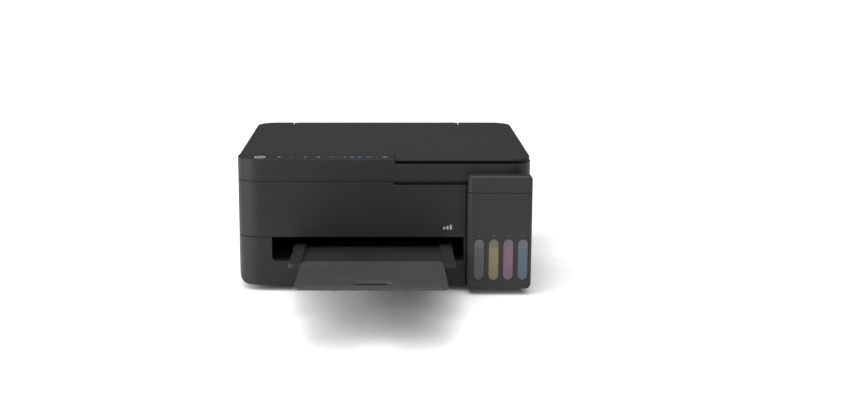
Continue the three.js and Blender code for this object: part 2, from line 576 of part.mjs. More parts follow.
/** A box in the feeder's leaning frame, whose origin is at its top edge. */
function leaning(x0, y0, z0, x1, y1, z1) {
  const geometry = new THREE.BoxGeometry(x1 - x0, y1 - y0, z1 - z0);
  geometry.translate((x0 + x1) / 2, (y0 + y1) / 2, (z0 + z1) / 2);
  return toSolid(geometry.rotateX(-tilt).translate(0, FEED_TOP_Y, HEIGHT));
}
const CHEEK = 3;
const CHEEK_FRONT = DEPTH - 21.2;
const GUARD_Y = DEPTH - 19.4;
const GUARD_Z = HEIGHT - 1.5;
const PICKUP_Y = DEPTH - 53;
const PICKUP_Z = HEIGHT - 82;
const SUPPORT_THICK = 2.5;
const PLATE_BACK = -SUPPORT_THICK - 2 * GAP;
const PLATE_FRONT = PLATE_BACK - 2.6;
function feederFrame() {
  const low = UPPER_TOP - 2 + GAP;
  const cheek = outline([
    [PICKUP_Y - 12, PICKUP_Z - 20],
    [DEPTH - 29, PICKUP_Z - 20],
    [DEPTH - 8.4, low - 14],
    [DEPTH - 8.4, low],
    [DEPTH, low],
    [DEPTH, HEIGHT - 0.4],
    [CHEEK_FRONT, HEIGHT - 0.4],
    [CHEEK_FRONT, UPPER_TOP + 1],
    [DEPTH - 30, UPPER_TOP - DECK - 2],
    [PICKUP_Y - 12, PICKUP_Z + 12],
  ]);
  const cheeks = [
    alongX(cheek, FEEDER_LEFT, FEEDER_LEFT + CHEEK),
    alongX(cheek, FEEDER_RIGHT - CHEEK, FEEDER_RIGHT),
  ];
  const rear = box(FEEDER_LEFT + 0.7, DEPTH - WALL, low + 0.3, FEEDER_RIGHT - 0.7, DEPTH - 0.2, HEIGHT - 4);
  const plate = leaning(FEEDER_LEFT + 1.3, PLATE_FRONT, -103, FEEDER_RIGHT - 1.3, PLATE_BACK, -8.6);
  const bores = [
    rodX(PICKUP_Y, PICKUP_Z, 3 + RUNNING, FEEDER_LEFT - 1, FEEDER_RIGHT + 1),
    rodX(GUARD_Y, GUARD_Z, 0.9 + GAP, FEEDER_LEFT + 1, FEEDER_LEFT + CHEEK + 1, 3),
    rodX(GUARD_Y, GUARD_Z, 0.9 + GAP, FEEDER_RIGHT - CHEEK - 1, FEEDER_RIGHT - 1, 3),
  ];
  return cut(join(...cheeks, rear, plate), ...bores);
}
piece("feeder_frame", "inner", feederFrame(), printer);
piece("pickup_roller", "rubber", cut(
  join(
    rodX(PICKUP_Y, PICKUP_Z, 3, FEEDER_LEFT - 2, FEEDER_RIGHT + 2),
    rodX(PICKUP_Y, PICKUP_Z, 11, FEEDER_CENTRE - 62, FEEDER_CENTRE - 42, 6),
    rodX(PICKUP_Y, PICKUP_Z, 11, FEEDER_CENTRE + 42, FEEDER_CENTRE + 62, 6),
  ),
  box(FEEDER_RIGHT, PICKUP_Y + 1.2, PICKUP_Z - 4, FEEDER_RIGHT + 4, PICKUP_Y + 4, PICKUP_Z + 4),
), printer);
const INSIDE_LEFT = FEEDER_LEFT + CHEEK + RUNNING;
const INSIDE_RIGHT = FEEDER_RIGHT - CHEEK - RUNNING;
const CAP_FRONT = DEPTH - 11.5;
piece("paper_support", "shell", cut(
  join(
    leaning(INSIDE_LEFT + 4, -SUPPORT_THICK - GAP, -104, INSIDE_RIGHT - 4, -GAP, -2),
    box(INSIDE_LEFT, CAP_FRONT, HEIGHT - 3.4, INSIDE_RIGHT, DEPTH - 0.3, HEIGHT - 0.1),
  ),
), printer);
piece("feeder_guard", "shell", join(
  box(INSIDE_LEFT, CHEEK_FRONT + 0.2, HEIGHT - 2.6, INSIDE_RIGHT, CAP_FRONT - GAP, HEIGHT - 0.3),
  rodX(GUARD_Y, GUARD_Z, 0.9, INSIDE_LEFT - 2, INSIDE_RIGHT + 2, 3),
), printer);
const GUIDE_REACH = FEEDER_WIDTH / 2 - 16;
for (const [name, side] of [["edge_guide_left", -1], ["edge_guide_right", 1]]) {
  const x = FEEDER_CENTRE + side * GUIDE_REACH;
  const inner = Math.min(x, x + side * 2);
  const flange = Math.min(x, x - side * 14);
  piece(name, "grey", join(
    leaning(inner, PLATE_FRONT - 4.6, -64, inner + 2, PLATE_FRONT - GAP, -8),
    leaning(flange, PLATE_FRONT - 1.6, -64, flange + 14, PLATE_FRONT - GAP, -12),
  ), printer);
}

// Ink tank unit: housing with four windows, four tanks with hinged filler caps, and a hinged cover
const TANK_SEAM_Z = SEAM_Z - TANK_SEAM_DROP;
const TANK_TOP = SEAM_Z + TANK_COVER_RISE;
const TANK_BACK = TANK_DEPTH - TANK_PROUD;
const TANK_WALL = 2.2;
const TANK_RADIUS = 8;
const DECK_TOP = TANK_SEAM_Z - GAP;
const NECK_Y = -9.5;
const NECK_RADIUS = 5.5;
const INKS = ["black", "yellow", "magenta", "cyan"];
const INK_PITCH = (TANK_WIDTH - 2 * TANK_WALL - 3.7) / 4;
const INK_SHIFT = 1.6;
const inkX = (index) => (TANK_LEFT + TANK_RIGHT) / 2 + INK_SHIFT + (index - 1.5) * INK_PITCH;
const pill = (x, grow) => rect(x - WINDOW_WIDTH / 2 - grow, WINDOW_LOW - grow,
  x + WINDOW_WIDTH / 2 + grow, WINDOW_HIGH + grow, WINDOW_WIDTH / 2 + grow - 0.05);
const COVER_HINGE_Y = -2.2;
const COVER_HINGE_Z = TANK_TOP - 1.6;
const COVER_WALL = 2;
/** The tank shell: four windows, four filler holes, and ears and lugs for the hinges. */
function tankHousing() {
  const riseTop = SEAM_Z - SEAM - 0.2;
  const plan = rect(TANK_LEFT, -TANK_PROUD, TANK_RIGHT, TANK_BACK, TANK_RADIUS);
  const block = upright(plan, TANK_BOTTOM, DECK_TOP);
  const rise = upright(rect(TANK_LEFT, SEAM, TANK_RIGHT, TANK_BACK, 1), TANK_BOTTOM + 20, riseTop);
  const x0 = TANK_LEFT + TANK_WALL;
  const x1 = TANK_RIGHT - TANK_WALL;
  const low = TANK_BOTTOM + TANK_WALL;
  const front = -TANK_PROUD + TANK_WALL;
  const room = rect(x0, front, x1, TANK_BACK + 20, TANK_RADIUS - TANK_WALL);
  const hollow = upright(room, low, DECK_TOP - TANK_WALL);
  const upper = box(x0, SEAM + TANK_WALL, low, x1, TANK_BACK + 2, riseTop - TANK_WALL);
  const windows = INKS.map((ink, i) => alongY(pill(inkX(i), GAP), -TANK_PROUD - 1, front + 1, 5));
  const fillers = INKS.map((ink, i) =>
    rodZ(inkX(i), NECK_Y, NECK_RADIUS + RUNNING, DECK_TOP - 4, DECK_TOP + 1, 5));
  const ears = [TANK_LEFT + COVER_WALL + 0.9, TANK_RIGHT - COVER_WALL - 2.9].map((x) => join(
    box(x, COVER_HINGE_Y - 1.6, DECK_TOP - 1, x + 2, COVER_HINGE_Y + 1.5, COVER_HINGE_Z),
    rodX(COVER_HINGE_Y, COVER_HINGE_Z, 1.55, x, x + 2),
  ));
  const lugs = INKS.map((ink, i) =>
    box(inkX(i) - 2, NECK_Y + 6.3, DECK_TOP - 1, inkX(i) + 2, NECK_Y + 8.2, DECK_TOP + 3.5));
  const bore = rodX(COVER_HINGE_Y, COVER_HINGE_Z, 1, TANK_LEFT, TANK_RIGHT, 3);
  const capBore = rodX(NECK_Y + 7.2, DECK_TOP + 2.4, 0.8, TANK_LEFT + 4, TANK_RIGHT - 4, 3);
  const shell = cut(join(block, rise), hollow, upper);
  return cut(join(shell, ...ears, ...lugs), ...windows, ...fillers, bore, capBore);
}
piece("tank_housing", "shell", tankHousing(), printer);

INKS.forEach((ink, index) => {
  const x = inkX(index);
  const x0 = x - INK_TANK_WIDTH / 2;
  const x1 = x + INK_TANK_WIDTH / 2;
  const front = -TANK_PROUD + TANK_WALL + 0.6;
  const top = DECK_TOP - TANK_WALL - 12;
  const body = upright(rect(x0, front, x1, TANK_BACK - 6, 4), TANK_BOTTOM + TANK_WALL + GAP, top, 2);
  const sight = alongY(pill(x, 0), -TANK_PROUD + 0.8, front + 1, 5);
  const neck = rodZ(x, NECK_Y, NECK_RADIUS, top - 1, DECK_TOP + 1.2, 5);
  const room = rect(x0 + 1.2, front + 1.2, x1 - 1.2, TANK_BACK - 7.2, 2.8);
  const hollow = upright(room, TANK_BOTTOM + TANK_WALL + 1.5, top - 1.2, 2);
  const bore = rodZ(x, NECK_Y, NECK_RADIUS - 1.4, top - 3, DECK_TOP + 3, 5);
  piece("ink_tank_" + ink, ink, cut(join(body, sight, neck), hollow, bore), printer);
});
INKS.forEach((ink, index) => {
  const x = inkX(index);
  const low = DECK_TOP + 1.5;
  const hingeY = NECK_Y + 7.2;
  const hingeZ = DECK_TOP + 2.4;
  const arms = [-3.6, 2.4].map((dx) =>
    box(x + dx, NECK_Y + 3, low + 0.2, x + dx + 1.2, hingeY + 1, low + 2.4));
  const pin = rodX(hingeY, hingeZ, 0.5, x - 3.4, x + 3.4, 3);
  const lid = rodZ(x, NECK_Y, 6.3, low, low + 4.5, 6);
  const slot = box(x - 2.4, NECK_Y + 5.6, low - 1, x + 2.4, NECK_Y + 7, low + 5);
  piece("ink_cap_" + ink, ink, join(cut(lid, slot), ...arms, pin), printer);
});

/** The hinged cover over the caps, with its pins. */
function tankCover() {
  const back = COVER_HINGE_Y + 1.6;
  const profile = outline([
    [-TANK_PROUD, TANK_SEAM_Z + GAP],
    [back, TANK_SEAM_Z + GAP],
    [back, TANK_TOP, 1.58],
    [-TANK_PROUD, TANK_TOP, 3],
  ]);
  const plan = rect(TANK_LEFT, -TANK_PROUD, TANK_RIGHT, TANK_BACK, TANK_RADIUS);
  const outer = common(alongX(profile, TANK_LEFT, TANK_RIGHT), upright(plan, 0, HEIGHT));
  const room = rect(
    TANK_LEFT + COVER_WALL, -TANK_PROUD + COVER_WALL,
    TANK_RIGHT - COVER_WALL, TANK_BACK, TANK_RADIUS - COVER_WALL,
  );
  const hollow = upright(room, 0, TANK_TOP - COVER_WALL);
  const earRoom = [TANK_LEFT + COVER_WALL, TANK_RIGHT - COVER_WALL - 4].map((x) => join(
    rodX(COVER_HINGE_Y, COVER_HINGE_Z, 2.1, x + 0.2, x + 3.8),
    box(x + 0.2, COVER_HINGE_Y - 0.5, COVER_HINGE_Z - 4, x + 3.8, 1, COVER_HINGE_Z + 0.2),
  ));
  const pins = [
    rodX(COVER_HINGE_Y, COVER_HINGE_Z, 0.7, TANK_LEFT + 1, TANK_LEFT + COVER_WALL + 2.6, 3),
    rodX(COVER_HINGE_Y, COVER_HINGE_Z, 0.7, TANK_RIGHT - COVER_WALL - 2.6, TANK_RIGHT - 1, 3),
  ];
  return join(cut(outer, hollow, ...earRoom), ...pins);
}
piece("tank_cover", "gloss", tankCover(), printer);

// Output tray in two stages, drawn out and leaning up a little towards the front
const TRAY_TOP = SLOT_TOP - 11;
const lean = THREE.MathUtils.degToRad(TRAY_TILT);
const tray = new THREE.Group();
tray.rotation.x = -lean;
tray.position.set(TRAY_CENTRE, 0, TRAY_TOP);
printer.add(tray);
const STAGE_BACK = 16;
const STAGE_FRONT = STAGE_BACK - 134;
const HALF_TRAY = TRAY_WIDTH / 2;
const HALF_TIP = TRAY_TIP_WIDTH / 2;
const TRAY_THICK = 3;
const TIP_Y = -TRAY_REACH / Math.cos(lean) + TRAY_THICK * Math.tan(lean);
piece("output_tray", "shell", cut(
  upright(rect(-HALF_TRAY, STAGE_FRONT, HALF_TRAY, STAGE_BACK, 6), -TRAY_THICK - 2.5, 0),
  box(-HALF_TIP - RUNNING, STAGE_FRONT - 1, -TRAY_THICK - GAP, HALF_TIP + RUNNING, STAGE_BACK + 1, 1),
), tray);
piece("tray_extension", "grey", cut(
  join(
    upright(rect(-HALF_TIP, TIP_Y, HALF_TIP, STAGE_FRONT + 16, 8), -TRAY_THICK, -0.1),
    box(-HALF_TIP + 12, TIP_Y + 2.84, -1, HALF_TIP - 12, TIP_Y + 4.84, 1.2),
  ),
  upright(rect(-22, -TRAY_REACH + 16, 22, -TRAY_REACH + 34, 8), -TRAY_THICK - 1, 1),
), tray);

// Scanner unit: housing with hinge knuckles, bezel, glass, rail and scan bar
const NOTCH = 26;
const WALL_TOP = HEIGHT - 6;
const THIN = 1.2;
const PANEL_TOP = HEIGHT - 0.5;
const KNUCKLE_IN = ARM_X - 12.5;
const KNUCKLE_OUT = ARM_X - 4.5;
const SCAN_RAIL_Y = DEPTH / 2 - 6;
const SCAN_RAIL_Z = SCANNER_LOW + WALL + 3.3;

/** The recess outline for the control panel, drawn in by an inset. */
function panelPlan(inset) {
  return outline([
    [-HALF + WALL + inset, WALL + inset, FRONT_RADIUS - WALL - inset],
    [PANEL_RIGHT - inset, WALL + inset, 1],
    [PANEL_RIGHT - inset, PANEL_DEPTH - inset, 8],
    [-HALF + WALL + inset, PANEL_DEPTH - inset, 1],
  ]);
}

/** The same solid made for the left side (-1) and the right side (1). */
const bothSides = (make) => [make(-1), make(1)];

/** The low and high X of a span that is given outwards from the middle. */
const spanX = (side, near, far) => (side > 0 ? [near, far] : [-far, -near]);

/** The open tray of the flatbed, with its panel recess, hinge knuckles and pins. */
function scannerHousing() {
  const shell = cut(
    upright(scannerPlan(0, NOTCH), SCANNER_LOW, WALL_TOP, 6),
    upright(scannerPlan(WALL, NOTCH), SCANNER_LOW + WALL, WALL_TOP + 1, 6),
  );
  const block = common(
    upright(scannerPlan(0, NOTCH), HEIGHT - 10.5, PANEL_TOP, 6),
    upright(outline([
      [-HALF - 1, -1],
      [PANEL_RIGHT + THIN, -1],
      [PANEL_RIGHT + THIN, PANEL_DEPTH + THIN, 8 + THIN],
      [-HALF - 1, PANEL_DEPTH + THIN],
    ]), 0, HEIGHT, 6),
  );
  const pocket = upright(panelPlan(0), HEIGHT - 8, HEIGHT + 1, 6);
  const bosses = bothSides((side) => {
    const [x0, x1] = spanX(side, HALF - WALL - 6, HALF - WALL + 0.5);
    return box(x0, SCAN_RAIL_Y - 5, SCANNER_LOW + 1, x1, SCAN_RAIL_Y + 5, SCAN_RAIL_Z + 4);
  });
  const knuckles = bothSides((side) => {
    const [x0, x1] = spanX(side, KNUCKLE_IN, KNUCKLE_OUT);
    return join(
      box(x0, HINGE_Y - 5, SCANNER_LOW + 1, x1, HINGE_Y + 2, HINGE_Z - 1.6),
      rodX(HINGE_Y, HINGE_Z, KNUCKLE_RADIUS, x0, x1),
    );
  });
  const pins = bothSides((side) => {
    const [x0, x1] = spanX(side, KNUCKLE_OUT - 1, ARM_X + 2.5);
    return rodX(HINGE_Y, HINGE_Z, PIN_RADIUS, x0, x1, 3);
  });
  const slots = bothSides((side) => {
    const [x0, x1] = spanX(side, ARM_X - 4, ARM_X + 4);
    return box(x0, HINGE_Y - 7, SCANNER_LOW - 1, x1, DEPTH + 1, HEIGHT);
  });
  const bores = bothSides((side) => {
    const [x0, x1] = spanX(side, KNUCKLE_IN - 1, KNUCKLE_IN + 3.5);
    return rodX(HINGE_Y, HINGE_Z, BORE_RADIUS, x0, x1);
  });
  const lowered = box(-HALF - 1, DEPTH - 12, HEIGHT - 10, HALF + 1, DEPTH + 1, HEIGHT);
  const walls = bothSides((side) => {
    const [x0, x1] = spanX(side, ARM_X - 6.5, ARM_X - 4);
    return box(x0, HINGE_Y - 9.5, SCANNER_LOW + 1, x1, DEPTH - WALL + 0.5, HEIGHT - 10);
  });
  const backs = bothSides((side) => {
    const [x0, x1] = spanX(side, ARM_X - 6.5, ARM_X + 6.5);
    return box(x0, HINGE_Y - 9.5, SCANNER_LOW + 1, x1, HINGE_Y - 7, HEIGHT - 10);
  });
  const outers = bothSides((side) => {
    const [x0, x1] = spanX(side, ARM_X + 4, ARM_X + 6.5);
    return box(x0, HINGE_Y - 9.5, SCANNER_LOW + 1, x1, DEPTH - 9, HEIGHT - 10);
  });
  const plan = upright(scannerPlan(WALL / 2, NOTCH), 0, HEIGHT, 6);
  const inside = common(join(...walls, ...backs, ...outers), plan);
  const railBore = rodX(SCAN_RAIL_Y, SCAN_RAIL_Z, 2 + GAP, -HALF + WALL + 2, HALF - WALL - 2);
  const base = cut(join(shell, block, ...bosses, inside), pocket, ...slots, lowered, railBore);
  return cut(join(base, ...knuckles, ...pins), ...bores);
}
piece("scanner_housing", "shell", scannerHousing(), printer);

const GLASS = { left: -HALF + 35.5, right: HALF - 37.5, front: 46, back: DEPTH - 61 };
const GLASS_TOP = HEIGHT - 8.8;
/** The plate round the glass, with the frame that holds it. */
function scannerBezel() {
  const margin = WALL + GAP;
  const plate = upright(scannerPlan(margin, NOTCH), WALL_TOP - 2.5, WALL_TOP, 6);
  const panelRoom = box(-HALF, -1, 0, PANEL_RIGHT + THIN + GAP, PANEL_DEPTH + THIN + GAP, HEIGHT);
  const hingeRoom = box(-HALF, DEPTH - 16, 0, HALF, DEPTH, HEIGHT);
  const window = box(GLASS.left + 3.5, GLASS.front + 3.5, 0, GLASS.right - 3.5, GLASS.back - 3.5, HEIGHT);
  const frame = cut(
    box(GLASS.left - 4, GLASS.front - 4, GLASS_TOP - 2.3, GLASS.right + 4, GLASS.back + 4, WALL_TOP - 1),
    box(GLASS.left - GAP, GLASS.front - GAP, 0, GLASS.right + GAP, GLASS.back + GAP, GLASS_TOP + GAP),
  );
  return cut(join(plate, frame), panelRoom, hingeRoom, window);
}
piece("scanner_bezel", "inner", scannerBezel(), printer);
piece("scan_glass", "glass",
  box(GLASS.left, GLASS.front, GLASS_TOP - 2, GLASS.right, GLASS.back, GLASS_TOP), printer);
const scanRod = rodX(SCAN_RAIL_Y, SCAN_RAIL_Z, 2, -HALF + WALL + 2.5, HALF - WALL - 2.5);
piece("scan_rail", "steel", scanRod, printer);
const SCAN_HOME = -HALF + 37.5;
piece("scan_bar", "grey", cut(
  join(
    box(SCAN_HOME - 7, GLASS.front - 2, SCAN_RAIL_Z + 2.6, SCAN_HOME + 7, GLASS.back + 2, GLASS_TOP - 3),
    box(SCAN_HOME - 11, SCAN_RAIL_Y - 8, SCAN_RAIL_Z - 3, SCAN_HOME + 11, SCAN_RAIL_Y + 8, SCAN_RAIL_Z + 4),
  ),
  rodX(SCAN_RAIL_Y, SCAN_RAIL_Z, 2 + RUNNING, -HALF, HALF),
  box(SCAN_HOME - 5, GLASS.front, GLASS_TOP - 4.5, SCAN_HOME + 5, GLASS.back, GLASS_TOP),
), printer);

// Control panel with its keys
const KEY_ROW = PANEL_DEPTH / 2;
const KEYS = {
  power_button: [29.2, POWER_RADIUS],
  wifi_button: [53.5, BUTTON_RADIUS],
  status_button: [68.7, BUTTON_RADIUS],
  mono_copy_button: [87.2, BUTTON_RADIUS],
  colour_copy_button: [103.8, BUTTON_RADIUS],
  stop_button: [188.6, BUTTON_RADIUS],
};
const keyHoles = Object.values(KEYS).map(([from, radius]) =>
  rodZ(-HALF + from, KEY_ROW, radius + GAP, HEIGHT - 8, HEIGHT + 1, 5));
const panelPlate = upright(panelPlan(GAP), PANEL_TOP - 2.2, PANEL_TOP, 6);
piece("control_panel", "gloss", cut(panelPlate, ...keyHoles), printer);
for (const [name, [from, radius]] of Object.entries(KEYS)) {
  piece(name, "gloss", join(
    rodZ(-HALF + from, KEY_ROW, radius, HEIGHT - 5, PANEL_TOP + 0.1, 5),
    rodZ(-HALF + from, KEY_ROW, radius + 1.1, HEIGHT - 6, HEIGHT - 4.6, 5),
  ), printer);
}

// Document lid with its pad
const LID_SIDE = 1.2;
const LID_LOW = HEIGHT - LID_THICKNESS;
const LID_BACK = DEPTH - 1;
const LID_NOTCH = DEPTH - 23.2;
const LID_PANEL_Y = PANEL_DEPTH + THIN + SEAM;
const LID_PANEL_X = PANEL_RIGHT + THIN + SEAM;
const LID_FRONT = 0.8;
/** The lid's outline round the panel and the feeder, drawn in by an inset. */
function lidPlan(inset) {
  const left = -HALF + LID_SIDE + inset;
  const right = HALF - LID_SIDE - inset;
  const back = LID_BACK - inset;
  return outline([
    [left, LID_PANEL_Y + inset, 1],
    [LID_PANEL_X + inset, LID_PANEL_Y + inset, 8],
    [LID_PANEL_X + inset, LID_FRONT + inset, 1],
    [right, LID_FRONT + inset, REAR_RADIUS - inset],
    [right, back, REAR_RADIUS - inset],
    [FEEDER_RIGHT + 1.2 + inset, back, 1],
    [FEEDER_RIGHT + 1.2 + inset, LID_NOTCH - inset, 1],
    [FEEDER_LEFT - 1.2 - inset, LID_NOTCH - inset, 1],
    [FEEDER_LEFT - 1.2 - inset, back, 1],
    [left, back, REAR_RADIUS - inset],
  ]);
}
/** The lid: a plate on a rim, with hinge lugs and a finger recess. */
function documentLid() {
  const rimLow = LID_LOW - LID_RIM;
  const plate = upright(lidPlan(0), LID_LOW, HEIGHT, 6);
  const ring = cut(
    upright(lidPlan(1.2), rimLow, LID_LOW + 0.5, 6),
    upright(lidPlan(3.4), rimLow - 1, LID_LOW, 6),
  );
  const grip = box(LID_PANEL_X - 1, -1, 0, HALF, 10, LID_LOW);
  const gripBack = box(LID_PANEL_X + 1.5, 9.5, rimLow, HALF - LID_SIDE - 3, 12, LID_LOW + 0.5);
  const rooms = bothSides((side) => {
    const [x0, x1] = spanX(side, KNUCKLE_IN - 6.5, ARM_X + 5);
    return box(x0, HINGE_Y - 8, 0, x1, DEPTH + 1, HINGE_Z + 1.4);
  });
  const cavities = bothSides((side) => {
    const [x0, x1] = spanX(side, KNUCKLE_IN - 0.7, ARM_X + 5);
    return rodX(HINGE_Y, HINGE_Z, 3.3, x0, x1, 5);
  });
  const lugs = bothSides((side) => {
    const [x0, x1] = spanX(side, KNUCKLE_IN - 6, KNUCKLE_IN - 1.4);
    const [pin0, pin1] = spanX(side, KNUCKLE_IN - 2, KNUCKLE_IN + 3);
    return join(
      box(x0, HINGE_Y - KNUCKLE_RADIUS, HINGE_Z, x1, HINGE_Y + KNUCKLE_RADIUS, LID_LOW + 0.5),
      rodX(HINGE_Y, HINGE_Z, KNUCKLE_RADIUS, x0, x1),
      rodX(HINGE_Y, HINGE_Z, PIN_RADIUS, pin0, pin1, 3),
    );
  });
  const base = cut(join(cut(ring, grip), gripBack, plate), ...rooms, ...cavities);
  return join(base, ...lugs);
}
piece("document_lid", "shell", documentLid(), printer);
const padPlan = rect(GLASS.left + 6, GLASS.front + 6, GLASS.right - 6, GLASS.back - 6, 3);
piece("lid_pad", "white", upright(padPlan, GLASS_TOP + 0.8, LID_LOW - GAP), printer);

// Ink tubes: a flat bundle along the chassis
piece("ink_tubes", "inner", join(...[0, 1, 2, 3].map((i) =>
  rodX(CHASSIS_Y - 5, CHASSIS_TOP - 3 - i * 2.8, 1.6, -20, CHASSIS_RIGHT - 14, 2))), printer);

export default printer;
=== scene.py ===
"""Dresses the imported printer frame: rounded casings, fine details, finishes, studio light and camera."""

from __future__ import annotations

import logging
import math
from collections.abc import Callable, Iterable
from dataclasses import dataclass, field
from enum import Enum

import bmesh
import bpy
from mathutils import Matrix, Vector


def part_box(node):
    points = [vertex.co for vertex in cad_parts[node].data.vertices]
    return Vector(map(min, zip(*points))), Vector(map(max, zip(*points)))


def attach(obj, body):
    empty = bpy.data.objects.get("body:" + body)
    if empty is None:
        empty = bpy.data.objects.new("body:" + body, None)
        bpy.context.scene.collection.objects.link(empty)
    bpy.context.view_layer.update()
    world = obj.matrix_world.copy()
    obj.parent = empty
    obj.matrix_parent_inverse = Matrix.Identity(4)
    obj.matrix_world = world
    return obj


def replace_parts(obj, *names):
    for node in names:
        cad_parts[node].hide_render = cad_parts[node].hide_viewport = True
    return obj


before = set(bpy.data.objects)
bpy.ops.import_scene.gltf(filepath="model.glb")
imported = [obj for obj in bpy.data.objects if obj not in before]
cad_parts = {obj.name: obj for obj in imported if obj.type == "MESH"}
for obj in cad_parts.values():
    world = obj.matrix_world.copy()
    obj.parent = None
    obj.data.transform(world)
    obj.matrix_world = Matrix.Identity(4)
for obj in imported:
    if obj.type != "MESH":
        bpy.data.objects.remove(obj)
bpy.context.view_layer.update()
LOG = logging.getLogger("printer")
Colour = tuple[float, float, float]
EdgeTest = Callable[[bmesh.types.BMEdge], bool]


def srgb(red: int, green: int, blue: int) -> Colour:
    """Turns display values into a linear colour.

    Args:
        red: Red, 0 to 255.
        green: Green, 0 to 255.
        blue: Blue, 0 to 255.

    Returns:
        The linear colour.
    """
    shares = (red / 255, green / 255, blue / 255)
    return tuple(c / 12.92 if c <= 0.04045 else ((c + 0.055) / 1.055) ** 2.4 for c in shares)


class Axis(Enum):
    """The axis that a round or flat piece faces along."""

    Y = Matrix.Rotation(-math.pi / 2, 3, "X")
    Z = Matrix.Identity(3)


# Shader node groups


def new_group(name: str, inputs: dict[str, float], outputs: Iterable[str]) -> bpy.types.ShaderNodeTree:
    """Makes an empty shader node group with number sockets.

    Args:
        name: The group's name.
        inputs: Each input socket's name and its value.
        outputs: The output sockets' names.

    Returns:
        The node group.
    """
    group = bpy.data.node_groups.new(name, "ShaderNodeTree")
    for label, value in inputs.items():
        socket = group.interface.new_socket(label, in_out="INPUT", socket_type="NodeSocketFloat")
        socket.default_value = value
    for label in outputs:
        group.interface.new_socket(label, in_out="OUTPUT", socket_type="NodeSocketFloat")
    group.nodes.new("NodeGroupInput")
    group.nodes.new("NodeGroupOutput")
    return group


def noise(tree: bpy.types.NodeTree, scale: float, detail: float = 3.0) -> bpy.types.Node:
    """Adds a noise texture on Object coordinates.

    Args:
        tree: The node tree.
        scale: Cells in a metre.
        detail: Levels of finer noise.

    Returns:
        The noise node.
    """
    place = tree.nodes.new("ShaderNodeTexCoord")
    node = tree.nodes.new("ShaderNodeTexNoise")
    node.inputs["Scale"].default_value = scale
    node.inputs["Detail"].default_value = detail
    tree.links.new(place.outputs["Object"], node.inputs["Vector"])
    return node


def spread(tree: bpy.types.NodeTree, source: bpy.types.NodeSocket, low: float, high: float,
           to_low: float = 0.0, to_high: float = 1.0) -> bpy.types.NodeSocket:
    """Maps a value from one range to another, clamped.

    Args:
        tree: The node tree.
        source: The value.
        low: The value that becomes to_low.
        high: The value that becomes to_high.
        to_low: The result at low.
        to_high: The result at high.

    Returns:
        The mapped value.
    """
    node = tree.nodes.new("ShaderNodeMapRange")
    for label, value in (("From Min", low), ("From Max", high), ("To Min", to_low), ("To Max", to_high)):
        node.inputs[label].default_value = value
    tree.links.new(source, node.inputs["Value"])
    return node.outputs["Result"]


def maths(tree: bpy.types.NodeTree, operation: str, first: bpy.types.NodeSocket,
          second: bpy.types.NodeSocket | float) -> bpy.types.NodeSocket:
    """Adds a maths node.

    Args:
        tree: The node tree.
        operation: The operation's name.
        first: The first value.
        second: The second value, a socket or a number.

    Returns:
        The result.
    """
    node = tree.nodes.new("ShaderNodeMath")
    node.operation = operation
    tree.links.new(first, node.inputs[0])
    if isinstance(second, bpy.types.NodeSocket):
        tree.links.new(second, node.inputs[1])
    else:
        node.inputs[1].default_value = second
    return node.outputs[0]


def grain_group() -> bpy.types.ShaderNodeTree:
    """Makes the spark-eroded mould grain: fine pits with a coarser ripple."""
    group = new_group("mould_grain", {"Scale": 2600.0}, ("Height",))
    ends = {node.bl_idname: node for node in group.nodes}
    fine = noise(group, 2600.0, 2.0)
    coarse = noise(group, 700.0, 2.0)
    group.links.new(ends["NodeGroupInput"].outputs["Scale"], fine.inputs["Scale"])
    pits = spread(group, fine.outputs["Fac"], 0.35, 0.65)
    ripple = spread(group, coarse.outputs["Fac"], 0.3, 0.7, 0.0, 0.4)
    group.links.new(maths(group, "ADD", pits, ripple), ends["NodeGroupOutput"].inputs["Height"])
    return group


def handling_group() -> bpy.types.ShaderNodeTree:
    """Makes soft patches from handling and settled dust, thicker on faces that look up."""
    group = new_group("handling", {"Scale": 9.0}, ("Patches", "Dust"))
    ends = {node.bl_idname: node for node in group.nodes}
    patches = noise(group, 9.0, 4.0)
    group.links.new(ends["NodeGroupInput"].outputs["Scale"], patches.inputs["Scale"])
    soft = spread(group, patches.outputs["Fac"], 0.3, 0.7)
    specks = spread(group, noise(group, 1500.0, 1.0).outputs["Fac"], 0.66, 0.74)
    normal = group.nodes.new("ShaderNodeNewGeometry")
    split = group.nodes.new("ShaderNodeSeparateXYZ")
    group.links.new(normal.outputs["Normal"], split.inputs["Vector"])
    upward = spread(group, split.outputs["Z"], 0.5, 1.0)
    dust = maths(group, "MULTIPLY", maths(group, "MULTIPLY", upward, specks), soft)
    group.links.new(soft, ends["NodeGroupOutput"].inputs["Patches"])
    group.links.new(dust, ends["NodeGroupOutput"].inputs["Dust"])
    return group


def edge_rub_and_highlight_group() -> bpy.types.ShaderNodeTree:
    """Makes a mask along outer edges that lightens them: partly rubbed plastic, partly a painted highlight
    along the rounded edges.
    """
    group = new_group("edge_rub_and_highlight", {"Amount": 1.0}, ("Mask",))
    ends = {node.bl_idname: node for node in group.nodes}
    geometry = group.nodes.new("ShaderNodeNewGeometry")
    bevel = group.nodes.new("ShaderNodeBevel")
    bevel.samples = 4
    bevel.inputs["Radius"].default_value = 0.0009
    dot = group.nodes.new("ShaderNodeVectorMath")
    dot.operation = "DOT_PRODUCT"
    group.links.new(geometry.outputs["Normal"], dot.inputs[0])
    group.links.new(bevel.outputs["Normal"], dot.inputs[1])
    edge = spread(group, dot.outputs["Value"], 0.86, 0.98, 1.0, 0.0)
    broken = maths(group, "MULTIPLY", edge, spread(group, noise(group, 260.0).outputs["Fac"], 0.35, 0.6))
    scaled = maths(group, "MULTIPLY", broken, ends["NodeGroupInput"].outputs["Amount"])
    group.links.new(scaled, ends["NodeGroupOutput"].inputs["Mask"])
    return group


GROUPS = {"grain": grain_group(), "handling": handling_group(), "edge": edge_rub_and_highlight_group()}


